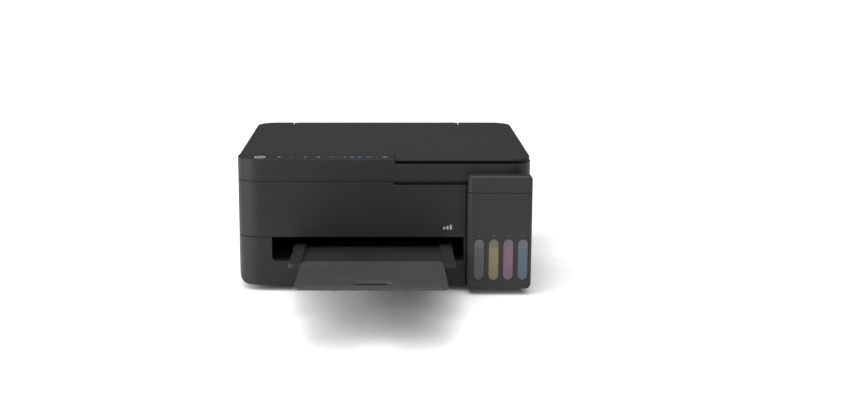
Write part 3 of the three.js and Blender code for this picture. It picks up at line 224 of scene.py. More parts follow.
def use_group(tree: bpy.types.NodeTree, name: str, **values: float) -> bpy.types.Node:
    """Places a shared group in a material.

    Args:
        tree: The material's node tree.
        name: The group's key.
        **values: Values for its inputs.

    Returns:
        The group node.
    """
    node = tree.nodes.new("ShaderNodeGroup")
    node.node_tree = GROUPS[name]
    for label, value in values.items():
        node.inputs[label].default_value = value
    return node


def blend_colours(tree: bpy.types.NodeTree, mask: bpy.types.NodeSocket, low: Colour | bpy.types.NodeSocket,
                  high: Colour) -> bpy.types.NodeSocket:
    """Mixes two colours by a mask.

    Args:
        tree: The node tree.
        mask: The share of the second colour.
        low: The first colour, as numbers or a socket.
        high: The second colour.

    Returns:
        The mixed colour.
    """
    node = tree.nodes.new("ShaderNodeMix")
    node.data_type = "RGBA"
    tree.links.new(mask, node.inputs["Factor"])
    if isinstance(low, bpy.types.NodeSocket):
        tree.links.new(low, node.inputs[6])
    else:
        node.inputs[6].default_value = (*low, 1.0)
    node.inputs[7].default_value = (*high, 1.0)
    return node.outputs[2]


def scaled(colour: Colour, share: float) -> Colour:
    """Makes a colour lighter or darker by a share."""
    return tuple(min(1.0, c * share) for c in colour)


@dataclass(frozen=True)
class Finish:
    """A solid surface with grain, soft patches, dust and outer edges lightened partly by rubbing and partly
    by a painted highlight.
    """

    name: str
    colour: Colour
    roughness: float
    grain: float = 0.12
    grain_scale: float = 2600.0
    metallic: float = 0.0
    coat: float = 0.0
    # Strength of the lightened edges: partly rubbed plastic, partly a painted highlight.
    rub_and_highlight: float = 0.5
    dust: float = 0.25
    shine: float = 0.22
    brushed: bool = False

    def build(self) -> bpy.types.Material:
        """Makes the material.

        Returns:
            The material, with its Principled shader last in the chain.
        """
        material = bpy.data.materials.new(self.name)
        material.use_nodes = True
        tree = material.node_tree
        shader = tree.nodes["Principled BSDF"]
        grain = use_group(tree, "grain", Scale=self.grain_scale)
        marks = use_group(tree, "handling", Scale=9.0)
        edge = use_group(tree, "edge", Amount=self.rub_and_highlight)
        darker, lighter = scaled(self.colour, 0.94), scaled(self.colour, 1.06)
        colour = blend_colours(tree, marks.outputs["Patches"], darker, lighter)
        # Outer edges painted up to 3.4 times lighter: partly rubbed plastic, partly a painted highlight on
        # the rounded edges.
        colour = blend_colours(tree, edge.outputs["Mask"], colour, scaled(self.colour, 3.4))
        dust = maths(tree, "MULTIPLY", marks.outputs["Dust"], self.dust)
        colour = blend_colours(tree, dust, colour, (0.4, 0.39, 0.37))
        tree.links.new(colour, shader.inputs["Base Color"])
        rough = spread(tree, marks.outputs["Patches"], 0.0, 1.0, self.roughness - 0.04, self.roughness + 0.05)
        tree.links.new(rough, shader.inputs["Roughness"])
        bump = tree.nodes.new("ShaderNodeBump")
        bump.inputs["Strength"].default_value = self.grain
        bump.inputs["Distance"].default_value = 0.00008
        tree.links.new(self.relief(tree, grain), bump.inputs["Height"])
        tree.links.new(bump.outputs["Normal"], shader.inputs["Normal"])
        shader.inputs["Metallic"].default_value = self.metallic
        shader.inputs["Specular IOR Level"].default_value = 0.5 if self.metallic else self.shine
        shader.inputs["Coat Weight"].default_value = self.coat
        shader.inputs["Coat Roughness"].default_value = 0.08
        return material

    def relief(self, tree: bpy.types.NodeTree, grain: bpy.types.Node) -> bpy.types.NodeSocket:
        """Picks the height that the bump follows: mould grain, or long brush lines along X."""
        if not self.brushed:
            return grain.outputs["Height"]
        lines = noise(tree, 1.0, 4.0)
        mapping = tree.nodes.new("ShaderNodeMapping")
        mapping.inputs["Scale"].default_value = (40.0, 3000.0, 3000.0)
        place = tree.nodes.new("ShaderNodeTexCoord")
        tree.links.new(place.outputs["Object"], mapping.inputs["Vector"])
        tree.links.new(mapping.outputs["Vector"], lines.inputs["Vector"])
        return lines.outputs["Fac"]


@dataclass(frozen=True)
class InkFinish:
    """A clear tank wall with ink behind it up to a level."""

    name: str
    full: Colour
    empty: Colour
    level: float

    def build(self) -> bpy.types.Material:
        """Makes the material: the ink's colour below the level, a hazy wall above it.

        Returns:
            The material.
        """
        material = bpy.data.materials.new(self.name)
        material.use_nodes = True
        tree = material.node_tree
        shader = tree.nodes["Principled BSDF"]
        place = tree.nodes.new("ShaderNodeTexCoord")
        split = tree.nodes.new("ShaderNodeSeparateXYZ")
        tree.links.new(place.outputs["Object"], split.inputs["Vector"])
        above = spread(tree, split.outputs["Z"], self.level - 0.0002, self.level + 0.0002)
        foot = spread(tree, split.outputs["Z"], self.level - 0.042, self.level - 0.02, 1.0, 0.0)
        ink = blend_colours(tree, foot, self.full, scaled(self.full, 0.8))
        node = tree.nodes.new("ShaderNodeMix")
        node.data_type = "RGBA"
        haze = blend_colours(tree, spread(tree, noise(tree, 60.0).outputs["Fac"], 0.3, 0.7),
                             self.empty, scaled(self.empty, 1.15))
        tree.links.new(above, node.inputs["Factor"])
        tree.links.new(ink, node.inputs[6])
        tree.links.new(haze, node.inputs[7])
        tree.links.new(node.outputs[2], shader.inputs["Base Color"])
        rough = spread(tree, noise(tree, 300.0).outputs["Fac"], 0.3, 0.7, 0.18, 0.28)
        tree.links.new(rough, shader.inputs["Roughness"])
        shader.inputs["Coat Weight"].default_value = 0.6
        shader.inputs["Coat Roughness"].default_value = 0.05
        return material


@dataclass(frozen=True)
class Lamp:
    """A lit symbol or light ring, a little uneven as a light guide is."""

    name: str
    colour: Colour
    strength: float

    def build(self) -> bpy.types.Material:
        """Makes the glowing material.

        Returns:
            The material.
        """
        material = bpy.data.materials.new(self.name)
        material.use_nodes = True
        tree = material.node_tree
        shader = tree.nodes["Principled BSDF"]
        shader.inputs["Roughness"].default_value = 0.4
        uneven = spread(tree, noise(tree, 400.0).outputs["Fac"], 0.3, 0.7)
        colour = blend_colours(tree, uneven, scaled(self.colour, 0.85), self.colour)
        tree.links.new(colour, shader.inputs["Base Color"])
        tree.links.new(colour, shader.inputs["Emission Color"])
        shader.inputs["Emission Strength"].default_value = self.strength
        return material


FINISHES: dict[str, Finish | InkFinish | Lamp] = {
    "shell": Finish("matt_black_shell", srgb(29, 29, 30), 0.46),
    "top": Finish("fine_matt_lid", srgb(38, 38, 39), 0.5, grain=0.18, dust=0.12, shine=0.08),
    "tank": Finish("tank_shell", srgb(39, 39, 40), 0.5),
    "gloss": Finish("satin_cover", srgb(39, 39, 40), 0.42, grain=0.05),
    "panel": Finish("smooth_key_panel", srgb(33, 33, 34), 0.4, grain=0.04, dust=0.1, shine=0.08),
    "inner": Finish("inner_black", srgb(22, 22, 23), 0.6, grain=0.2),
    "tray": Finish("tray_tip_grey", srgb(52, 52, 53), 0.5),
    "grey": Finish("mid_grey_part", srgb(92, 93, 96), 0.5),
    "rubber": Finish("soft_rubber", srgb(20, 20, 20), 0.85, grain=0.3, rub_and_highlight=0.1),
    "steel": Finish("zinc_steel", srgb(178, 180, 182), 0.34, grain=0.08, metallic=1.0, rub_and_highlight=0.1, brushed=True),
    "shaft": Finish("ground_shaft", srgb(205, 206, 207), 0.2, grain=0.03, metallic=1.0, rub_and_highlight=0.0,
                    brushed=True),
    "white": Finish("white_acetal", srgb(214, 213, 206), 0.45, rub_and_highlight=0.0),
    "foam": Finish("lid_foam_sheet", srgb(226, 226, 222), 0.75, grain=0.35, rub_and_highlight=0.0, dust=0.1),
    "board": Finish("solder_mask", srgb(22, 84, 44), 0.38, rub_and_highlight=0.0),
    "clear": Finish("clear_window", srgb(28, 29, 30), 0.3, grain=0.0, rub_and_highlight=0.0, dust=0.05, shine=0.1),
    "print": Finish("printed_symbol", srgb(150, 152, 154), 0.5, grain=0.02, rub_and_highlight=0.0, dust=0.0, shine=0.1),
    "ring": Lamp("power_ring_light", srgb(196, 198, 200), 0.8),
    "blue": Lamp("blue_status_light", srgb(40, 90, 140), 0.6),
    "ink_black": InkFinish("black_ink", srgb(17, 17, 19), srgb(44, 44, 46), 0.062),
    "ink_yellow": InkFinish("yellow_ink", srgb(88, 78, 44), srgb(60, 61, 52), 0.062),
    "ink_magenta": InkFinish("magenta_ink", srgb(86, 50, 72), srgb(63, 57, 62), 0.062),
    "ink_cyan": InkFinish("cyan_ink", srgb(38, 58, 78), srgb(56, 59, 64), 0.062),
}
MATERIALS = {key: finish.build() for key, finish in FINISHES.items()}


def glass_material() -> bpy.types.Material:
    """Makes the scanner's float glass."""
    material = bpy.data.materials.new("float_glass")
    material.use_nodes = True
    tree = material.node_tree
    shader = tree.nodes["Principled BSDF"]
    shader.inputs["Base Color"].default_value = (0.62, 0.72, 0.71, 1.0)
    shader.inputs["Transmission Weight"].default_value = 1.0
    smear = spread(tree, noise(tree, 14.0).outputs["Fac"], 0.3, 0.7, 0.02, 0.07)
    tree.links.new(smear, shader.inputs["Roughness"])
    return material


MATERIALS["glass"] = glass_material()


# Mesh helpers


def dressed(name: str, mesh: bmesh.types.BMesh, material: str, body: str,
            sharp_from: float = 38.0) -> bpy.types.Object:
    """Turns a bmesh into a finished piece that rides on a body.

    Args:
        name: The piece's name.
        mesh: The bmesh, which is freed.
        material: The material's key.
        body: The body that it rides on.
        sharp_from: Edges sharper than this, in degrees, stay crisp.

    Returns:
        The piece.
    """
    data = bpy.data.meshes.new(name)
    mesh.to_mesh(data)
    mesh.free()
    piece = bpy.data.objects.new(name, data)
    bpy.context.scene.collection.objects.link(piece)
    data.materials.append(MATERIALS[material])
    data.shade_smooth()
    data.set_sharp_from_angle(angle=math.radians(sharp_from))
    weighted = piece.modifiers.new("even_shading", "WEIGHTED_NORMAL")
    weighted.keep_sharp = True
    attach(piece, body)
    LOG.info("%s: %d faces on %s", name, len(data.polygons), body)
    return piece


def is_crease(edge: bmesh.types.BMEdge, angle: float = 50.0) -> bool:
    """Says whether an edge is a real outer or inner corner."""
    return len(edge.link_faces) == 2 and edge.calc_face_angle(0.0) > math.radians(angle)


def rounded(mesh: bmesh.types.BMesh, radius: float, test: EdgeTest, segments: int = 3) -> None:
    """Rounds the creases that pass a test.

    Args:
        mesh: The bmesh.
        radius: The rounding, in metres.
        test: Picks the edges.
        segments: Steps round the edge.
    """
    edges = [edge for edge in mesh.edges if is_crease(edge) and test(edge)]
    bmesh.ops.bevel(mesh, geom=edges, offset=radius, offset_type="OFFSET", segments=segments, profile=0.5,
                    affect="EDGES", material=-1, clamp_overlap=False, loop_slide=True)


def copy_of(node: str) -> bmesh.types.BMesh:
    """Makes a merged copy of a CAD node with its flat faces joined.

    Args:
        node: The node's name.

    Returns:
        A bmesh of whole faces.
    """
    mesh = bmesh.new()
    mesh.from_mesh(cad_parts[node].data)
    bmesh.ops.remove_doubles(mesh, verts=mesh.verts, dist=0.000004)
    bmesh.ops.dissolve_limit(mesh, angle_limit=math.radians(0.6), verts=mesh.verts, edges=mesh.edges,
                             use_dissolve_boundaries=False)
    return mesh


def block(low: Vector, high: Vector, radius: float = 0.0, segments: int = 3) -> bmesh.types.BMesh:
    """Makes a box with rounded edges.

    Args:
        low: Its lowest corner.
        high: Its highest corner.
        radius: The rounding of its edges.
        segments: Steps round each edge.

    Returns:
        The bmesh.
    """
    mesh = bmesh.new()
    bmesh.ops.create_cube(mesh, size=1.0)
    bmesh.ops.scale(mesh, vec=high - low, verts=mesh.verts)
    bmesh.ops.translate(mesh, vec=(high + low) / 2, verts=mesh.verts)
    if radius:
        bmesh.ops.bevel(mesh, geom=mesh.edges, offset=radius, segments=segments, profile=0.5, affect="EDGES",
                        material=-1, clamp_overlap=True)
    return mesh


def disc(centre: Vector, radius: float, height: float, axis: Axis = Axis.Z, edge: float = 0.0,
         sides: int = 32) -> bmesh.types.BMesh:
    """Makes a short round piece whose middle is at a point.

    Args:
        centre: Its middle.
        radius: Its radius.
        height: Its length along the axis.
        axis: The way that it faces.
        edge: The rounding of its rims.
        sides: Steps round it.

    Returns:
        The bmesh.
    """
    mesh = bmesh.new()
    bmesh.ops.create_cone(mesh, cap_ends=True, segments=sides, radius1=radius, radius2=radius, depth=height)
    if edge:
        rounded(mesh, edge, lambda e: True, 2)
    bmesh.ops.rotate(mesh, matrix=axis.value, verts=mesh.verts)
    bmesh.ops.translate(mesh, vec=centre, verts=mesh.verts)
    return mesh


def hoop(centre: Vector, radius: float, thick: float, axis: Axis = Axis.Z,
         sides: int = 48) -> bmesh.types.BMesh:
    """Makes a ring of round section by a full spin.

    Args:
        centre: Its middle.
        radius: The radius of its middle line.
        thick: The radius of its section.
        axis: The axis that it goes round.
        sides: Steps round it.

    Returns:
        The bmesh.
    """
    mesh = bmesh.new()
    bmesh.ops.create_circle(mesh, segments=10, radius=thick)
    bmesh.ops.rotate(mesh, matrix=Matrix.Rotation(math.pi / 2, 3, "X"), verts=mesh.verts)
    bmesh.ops.translate(mesh, vec=(radius, 0, 0), verts=mesh.verts)
    bmesh.ops.spin(mesh, geom=mesh.verts[:] + mesh.edges[:], cent=(0, 0, 0), axis=(0, 0, 1), angle=math.tau,
                   steps=sides, use_merge=True)
    bmesh.ops.remove_doubles(mesh, verts=mesh.verts, dist=1e-7)
    bmesh.ops.recalc_face_normals(mesh, faces=mesh.faces)
    bmesh.ops.rotate(mesh, matrix=axis.value, verts=mesh.verts)
    bmesh.ops.translate(mesh, vec=centre, verts=mesh.verts)
    return mesh


def joined(parts: Iterable[bmesh.types.BMesh]) -> bmesh.types.BMesh:
    """Puts several bmeshes into one and frees them.

    Args:
        parts: The bmeshes.

    Returns:
        One bmesh that holds them all.
    """
    whole = bmesh.new()
    for part in parts:
        data = bpy.data.meshes.new("part")
        part.to_mesh(data)
        part.free()
        whole.from_mesh(data)
        bpy.data.meshes.remove(data)
    return whole


def moved(mesh: bmesh.types.BMesh, turn: Matrix, shift: Vector) -> bmesh.types.BMesh:
    """Turns a bmesh about the origin, then shifts it."""
    bmesh.ops.rotate(mesh, matrix=turn, verts=mesh.verts)
    bmesh.ops.translate(mesh, vec=shift, verts=mesh.verts)
    return mesh


def span(node: str) -> tuple[Vector, Vector]:
    """Gives a node's lowest and highest corners at rest."""
    low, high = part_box(node)
    return Vector(low), Vector(high)


@dataclass
class Casing:
    """A rounded, dressed copy of a CAD node that stands for it."""

    node: str
    material: str
    body: str
    slot: str
    radius: float = 0.0006
    segments: int = 3

    def picks(self, edge: bmesh.types.BMEdge) -> bool:
        """Says which creases are rounded: outer corners that are long enough for it."""
        return edge.is_convex and edge.calc_length() > 0.2 * self.radius

    def build(self) -> bpy.types.Object:
        """Makes the piece.

        Returns:
            The piece, which replaces its node.
        """
        mesh = copy_of(self.node)
        rounded(mesh, self.radius, self.picks, self.segments)
        piece = dressed(self.node + "_casing", mesh, self.material, self.body)
        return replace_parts(piece, self.node)


@dataclass
class CorneredCasing(Casing):
    """A casing whose front outline also has large round corners."""

    corner: float = 0.0065
    top: float = 0.0
    bottom: float = 0.0
    steps: int = 6

    def build(self) -> bpy.types.Object:
        """Cuts the corners into strips and draws them onto a round outline.

        Returns:
            The piece, which replaces its node.
        """
        mesh = copy_of(self.node)
        rounded(mesh, self.radius, self.picks, self.segments)
        low, high = span("tank_housing")
        if self.top:
            self.soften(mesh, low.x, high.x, self.top, -1.0)
        if self.bottom:
            self.soften(mesh, low.x, high.x, self.bottom, 1.0)
        piece = dressed(self.node + "_casing", mesh, self.material, self.body)
        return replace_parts(piece, self.node)

    def soften(self, mesh: bmesh.types.BMesh, left: float, right: float, edge: float, inward: float) -> None:
        """Rounds the two corners of the front outline at one height.

        Args:
            mesh: The bmesh.
            left: The outline's left side.
            right: Its right side.
            edge: The height of its top or bottom edge.
            inward: 1 where the outline lies above the edge, -1 where it lies below.
        """
        for side, inner in ((left, 1.0), (right, -1.0)):
            centre = Vector((side + inner * self.corner, 0.0, edge + inward * self.corner))
            for step in range(self.steps):
                turn = math.pi / 2 * step / self.steps
                place = Vector((centre.x - inner * self.corner * math.sin(turn), 0, 0))
                rung = Vector((0, 0, centre.z - inward * self.corner * math.sin(turn)))
                for point, normal in ((place, (1, 0, 0)), (rung, (0, 0, 1))):
                    everything = mesh.verts[:] + mesh.edges[:] + mesh.faces[:]
                    bmesh.ops.bisect_plane(mesh, geom=everything, dist=0.000001, plane_co=point,
                                           plane_no=normal)
            for vert in mesh.verts:
                offset = Vector((vert.co.x - centre.x, 0.0, vert.co.z - centre.z))
                if offset.x * inner < 0 and offset.z * inward < 0 and offset.length > self.corner:
                    offset.length = self.corner
                    vert.co.x = centre.x + offset.x
                    vert.co.z = centre.z + offset.z


def screw(centre: Vector, axis: Axis, radius: float = 0.0032) -> bmesh.types.BMesh:
    """Makes a flat round head with a cross of low bars standing on it.

    Args:
        centre: The middle of its head.
        axis: The way that it faces.
        radius: The head's radius.

    Returns:
        The bmesh.
    """
    mesh = disc(Vector(), radius, 0.0012, Axis.Z, 0.0005, 24)
    arms = []
    for turn in (0.0, math.pi / 2):
        bar = block(Vector((-radius * 0.55, -0.00035, 0.0005)), Vector((radius * 0.55, 0.00035, 0.00072)))
        arms.append(moved(bar, Matrix.Rotation(turn, 3, "Z"), Vector()))
    return moved(joined([mesh, *arms]), axis.value, centre)


def sweep(centre: Vector, radius: float, width: float, start: float, end: float,
          height: float = 0.00012) -> bmesh.types.BMesh:
    """Makes a flat curved bar, as a printed arc is, by spinning a thin section.

    Args:
        centre: The arc's centre.
        radius: Its middle radius.
        width: Its width.
        start: Its first angle, in degrees.
        end: Its last angle, in degrees.
        height: Its thickness.

    Returns:
        The bmesh.
    """
    mesh = bmesh.new()
    bmesh.ops.create_grid(mesh, x_segments=1, y_segments=1, size=0.5)
    bmesh.ops.scale(mesh, vec=(width, height, 1), verts=mesh.verts)
    bmesh.ops.rotate(mesh, matrix=Matrix.Rotation(math.pi / 2, 3, "X"), verts=mesh.verts)
    bmesh.ops.translate(mesh, vec=(radius, 0, 0), verts=mesh.verts)
    bmesh.ops.rotate(mesh, matrix=Matrix.Rotation(math.radians(start), 3, "Z"), verts=mesh.verts)
    first = mesh.faces[:]
    made = bmesh.ops.spin(mesh, geom=first, cent=(0, 0, 0), axis=(0, 0, 1), angle=math.radians(end - start),
                          steps=16, use_duplicate=False)
    if not made["geom_last"]:
        LOG.warning("an arc has no end")
    bmesh.ops.recalc_face_normals(mesh, faces=mesh.faces)
    bmesh.ops.translate(mesh, vec=centre, verts=mesh.verts)
    return mesh


@dataclass
class SubAssembly:
    """A group of casings and details that belong together."""

    casings: list[Casing] = field(default_factory=list)

    def build(self) -> None:
        """Builds the casings, then the details."""
        for casing in self.casings:
            casing.build()
        self.details()

    def details(self) -> None:
        """Adds what the plain casings lack."""


@dataclass
class Housing(SubAssembly):
    """The lower and upper housings, feet and their screws."""

    mark_x: float = 0.0755
    mark_z: float = 0.0815
    mark_pitch: float = 0.0042
    screw_inset: float = 0.036

    def details(self) -> None:
        """Adds the plain mark on the front, rear screws and foot pads."""
        low, high = span("upper_housing")
        bars = []
        for index, height in enumerate((0.0030, 0.0044, 0.0058)):
            x = self.mark_x + index * self.mark_pitch
            bars.append(block(Vector((x, low.y - 0.0001, self.mark_z)),
                              Vector((x + 0.0024, low.y + 0.0002, self.mark_z + height)), 0.00004, 1))
        dressed("front_mark", joined(bars), "print", "root")
        foot_low, foot_high = span("lower_housing")
        heads = []
        for x in (low.x + self.screw_inset, low.x + 0.115, high.x - 0.115, high.x - self.screw_inset):
            for z in (foot_low.z + 0.045, high.z - 0.075):
                heads.append(screw(Vector((x, high.y - 0.0007, z)), Axis.Y, 0.003))
        dressed("rear_screws", joined(heads), "steel", "root")
        pads = []
        for node in ("foot_front_left", "foot_front_right", "foot_rear_left", "foot_rear_right"):
            a, b = span(node)
            middle = (a + b) / 2
            pads.append(hoop(Vector((middle.x, middle.y, a.z + 0.0045)), 0.0088, 0.0002))
        dressed("foot_ribs", joined(pads), "rubber", "root")


@dataclass
class InkUnit(SubAssembly):
    """The tank unit: tanks seen through pill windows, caps and the cover."""

    dot_radius: float = 0.0009
    # Size of the dark ring round each window, which is painted shade for the window's recess.
    shade_ring_radius: float = 0.00668
    shade_ring_width: float = 0.0007
    window_low: float = 0.0197
    window_high: float = 0.0736
    dot_rise: float = 0.0040
    inks: tuple[str, ...] = ("black", "yellow", "magenta", "cyan")

    def details(self) -> None:
        """Adds the ink dots over the windows and the cap rims."""
        front = span("tank_housing")[0].y
        for ink in self.inks:
            low, high = span("ink_tank_" + ink)
            middle = (low.x + high.x) / 2
            # Painted shade: a dark ring round each window where its recess falls into shade.
            self.window_shade_ring(ink, Vector((middle, front, 0)))
            dot_centre = Vector((middle, front + 0.0001, 0.0736 + self.dot_rise))
            dot = disc(dot_centre, self.dot_radius, 0.0004, Axis.Y, 0.00005, 20)
            dressed("ink_dot_" + ink, dot, "ink_" + ink, "root")
            cap_low, cap_high = span("ink_cap_" + ink)
            top = Vector(((cap_low.x + cap_high.x) / 2, cap_low.y + 0.0063, cap_high.z))
            rim = joined([hoop(top, 0.0048, 0.0004, Axis.Z, 32),
                          disc(top, 0.0026, 0.0006, Axis.Z, 0.0002, 24)])
            dressed("cap_inlay_" + ink, rim, "ink_" + ink, "ink_cap_" + ink)
            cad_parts["ink_tank_" + ink].material_slots[0].material = MATERIALS["ink_" + ink]


    def window_shade_ring(self, ink: str, place: Vector) -> None:
        """Adds a dark ring round one sight window: painted shade standing in for the shade inside the
        window's recess.

        Args:
            ink: The ink's name.
            place: The window's middle line, on the front face.
        """
        radius = self.shade_ring_radius
        low = self.window_low + radius
        high = self.window_high - radius
        arcs = [sweep(Vector((0, high, 0)), radius, self.shade_ring_width, 0, 180, 0.0003),
                sweep(Vector((0, low, 0)), radius, self.shade_ring_width, 180, 360, 0.0003)]
        half = self.shade_ring_width / 2
        sides = [block(Vector((x - half, low, -0.00015)), Vector((x + half, high, 0.00015)))
                 for x in (-radius, radius)]
        rim = moved(joined([*arcs, *sides]), Matrix.Rotation(math.pi / 2, 3, "X"), place)
        dressed("window_shade_ring_" + ink, rim, "inner", "root")


@dataclass
class ControlPanel(SubAssembly):
    """The touch panel: light ring, printed symbols and the small display."""

    symbol: float = 0.0020
    line: float = 0.00032
    lift: float = 0.00004

    def key_centre(self, node: str) -> Vector:
        """Gives the middle of a key's top."""
        low, high = span(node)
        return Vector(((low.x + high.x) / 2, (low.y + high.y) / 2, high.z + self.lift))

    def bar(self, centre: Vector, width: float, depth: float) -> bmesh.types.BMesh:
        """Makes a flat printed bar round a point."""
        half = Vector((width / 2, depth / 2, self.lift))
        return block(centre - half, centre + half)

    def outline(self, centre: Vector, width: float, depth: float) -> bmesh.types.BMesh:
        """Makes the four sides of a printed rectangle."""
        across = Vector((0, (depth - self.line) / 2, 0))
        along = Vector(((width - self.line) / 2, 0, 0))
        return joined([self.bar(centre + across, width, self.line),
                       self.bar(centre - across, width, self.line),
                       self.bar(centre + along, self.line, depth),
                       self.bar(centre - along, self.line, depth)])

    def copy_symbol(self, centre: Vector, dots: int) -> bmesh.types.BMesh:
        """Makes two sheets, with dots under them for colour."""
        shift = Vector((0.0009, 0.0009, 0))
        parts = [self.outline(centre - shift, self.symbol * 1.3, self.symbol * 1.6),
                 self.outline(centre + shift, self.symbol * 1.3, self.symbol * 1.6)]
        for index in range(dots):
            place = centre + Vector(((index - (dots - 1) / 2) * 0.0016, -0.0042, 0))
            parts.append(disc(place, 0.0004, self.lift * 2, sides=12))
        return joined(parts)

    def details(self) -> None:
        """Adds the ring, symbols and display."""
        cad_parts["control_panel"].material_slots[0].material = MATERIALS["panel"]
        power = self.key_centre("power_button")
        ring = hoop(power - Vector((0, 0, 0.00025)), 0.0066, 0.00034)
        dressed("power_ring", ring, "ring", "power_button")
        symbol = joined([sweep(power, self.symbol, self.line, 120, 420),
                         self.bar(power + Vector((0, self.symbol * 0.8, 0)), self.line, self.symbol * 1.3)])
        dressed("power_symbol", symbol, "print", "power_button")
        waves = self.key_centre("wifi_button") - Vector((0, 0.002, 0))
        arcs = [sweep(waves, radius, self.line, 45, 135) for radius in (0.0016, 0.0030, 0.0044)]
        dressed("wireless_symbol", joined([*arcs, disc(waves, 0.0006, self.lift * 2, sides=12)]), "print",
                "wifi_button")
        status = self.key_centre("status_button")
        stroke = self.bar(status + Vector((0, 0.0009, 0)), self.line, 0.0030)
        point = disc(status - Vector((0, 0.0018, 0)), 0.0005, self.lift * 2, sides=12)
        dressed("status_symbol", joined([stroke, point]), "print", "status_button")
        dressed("mono_copy_symbol", self.copy_symbol(self.key_centre("mono_copy_button"), 1), "print",
                "mono_copy_button")
        dressed("colour_copy_symbol", self.copy_symbol(self.key_centre("colour_copy_button"), 3), "print",
                "colour_copy_button")
        stop = self.key_centre("stop_button")
        dressed("stop_symbol", joined([sweep(stop, 0.0034, self.line, 0, 359.9),
                                       self.bar(stop, 0.0024, 0.0024)]), "print", "stop_button")
        self.display()

    def display(self) -> None:
        """Adds the smoked display window with its small lit marks."""
        low, high = span("control_panel")
        row = self.key_centre("status_button").y
        top = high.z + self.lift
        left = low.x + 0.113
        window = block(Vector((left, row - 0.0075, high.z - 0.0003)),
                       Vector((left + 0.064, row + 0.0075, high.z + 0.00003)), 0.00002, 1)
        dressed("display_window", window, "clear", "scanner_unit")
        places = {name: Vector((low.x + from_left, row, top)) for name, from_left in
                  (("sheet", 0.1172), ("drop", 0.1344), ("bar", 0.1440), ("light", 0.1529), ("mail", 0.1660))}
        marks = [self.outline(places["sheet"], 0.0030, 0.0042),
                 disc(places["drop"], 0.0013, self.lift * 2, sides=20),
                 self.bar(places["bar"] - Vector((0, 0.0042, 0)), 0.0058, self.line),
                 self.outline(places["bar"], 0.0026, 0.0048),
                 self.outline(places["mail"], 0.0062, 0.0040)]
        dressed("display_marks", joined(marks), "print", "scanner_unit")
        light = joined([disc(places["light"], 0.0026, self.lift * 2, sides=28),
                        sweep(places["light"], 0.0036, self.line, 30, 150)])
        dressed("display_light", light, "blue", "scanner_unit")


@dataclass
class ScannerUnit(SubAssembly):
    """The flatbed: housing, bezel, glass, rail and scan bar."""

    tick_pitch: float = 0.01

    def details(self) -> None:
        """Adds the size ticks on the bezel, the white strip and the lamp guide."""
        low, high = span("scan_glass")
        bezel_top = span("scanner_bezel")[1].z
        inset = 0.0035
        ticks = []
        count = int((high.x - low.x - 2 * inset) / self.tick_pitch)
        for index in range(count + 1):
            x = low.x + inset + index * self.tick_pitch
            length = 0.005 if index % 5 == 0 else 0.003
            ticks.append(block(Vector((x - 0.00015, high.y - inset + 0.0006, bezel_top - 0.00002)),
                               Vector((x + 0.00015, high.y - inset + 0.0006 + length, bezel_top + 0.00005))))
        corner = Vector((low.x + inset - 0.007, high.y - inset + 0.007, bezel_top + 0.00002))
        arrow = sweep(corner, 0.004, 0.001, 90, 180)
        dressed("size_ticks", joined([*ticks, arrow]), "print", "scanner_unit")
        strip = block(Vector((low.x + 0.002, low.y + 0.001, low.z - 0.0004)),
                      Vector((low.x + 0.0034, high.y - 0.001, low.z - 0.00005)))
        dressed("white_reference_strip", strip, "foam", "scanner_unit")
        bar_low, bar_high = span("scan_bar")
        guide_x = (bar_low.x + bar_high.x) / 2
        guide = block(Vector((guide_x - 0.0030, bar_low.y + 0.004, bar_high.z - 0.0014)),
                      Vector((guide_x - 0.0012, bar_high.y - 0.004, bar_high.z - 0.0004)), 0.0003, 2)
        dressed("lamp_guide", guide, "white", "scan_bar")


@dataclass
class DocumentLid(SubAssembly):
    """The lid with its foam pad."""

    def details(self) -> None:
        """Adds the soft face of the pad with rounded edges."""
        low, high = span("lid_pad")
        sheet = block(low + Vector((0, 0, 0.0002)), high, 0.0012, 3)
        piece = dressed("pad_sheet", sheet, "foam", "document_lid")
        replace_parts(piece, "lid_pad")


@dataclass
class OutputTray(SubAssembly):
    """The two tray stages, ribbed where the sheets slide."""

    lean: float = math.radians(3.0)
    rib_pitch: float = 0.034
    rib_width: float = 0.0012

    def rail(self, x: float, front: float, back: float, height: float) -> bmesh.types.BMesh:
        """Makes one low rib along the tray, in the tray's flat frame."""
        half = self.rib_width / 2
        return block(Vector((x - half, front, -0.0004)), Vector((x + half, back, height)), 0.0003, 2)

    def details(self) -> None:
        """Adds the low ribs that the sheets slide on."""
        low, high = span("tray_extension")
        turn = Matrix.Rotation(-self.lean, 3, "X")
        origin = Vector(((low.x + high.x) / 2, low.y, high.z - 0.0013))
        length = (high.y - low.y) / math.cos(self.lean)
        ribs = [self.rail(index * self.rib_pitch, 0.040, length - 0.006, 0.0003) for index in range(-2, 3)]
        dressed("tray_ribs", moved(joined(ribs), turn, origin), "tray", "tray_extension")


@dataclass
class RearFeeder(SubAssembly):
    """The rear feeder: frame, sliding support, guard flap and edge guides."""

    ridge_pitch: float = 0.0018
    ridge_half: float = 0.018

    def details(self) -> None:
        """Adds the finger ridges on the support's cap strip."""
        low, high = span("paper_support")
        middle = (low.x + high.x) / 2
        ridges = []
        for index in range(4):
            y = high.y - 0.0080 + index * self.ridge_pitch
            ridges.append(block(Vector((middle - self.ridge_half, y, high.z - 0.0003)),
                                Vector((middle + self.ridge_half, y + 0.0008, high.z + 0.00008)), 0.00005, 1))
        dressed("support_ridges", joined(ridges), "shell", "paper_support")


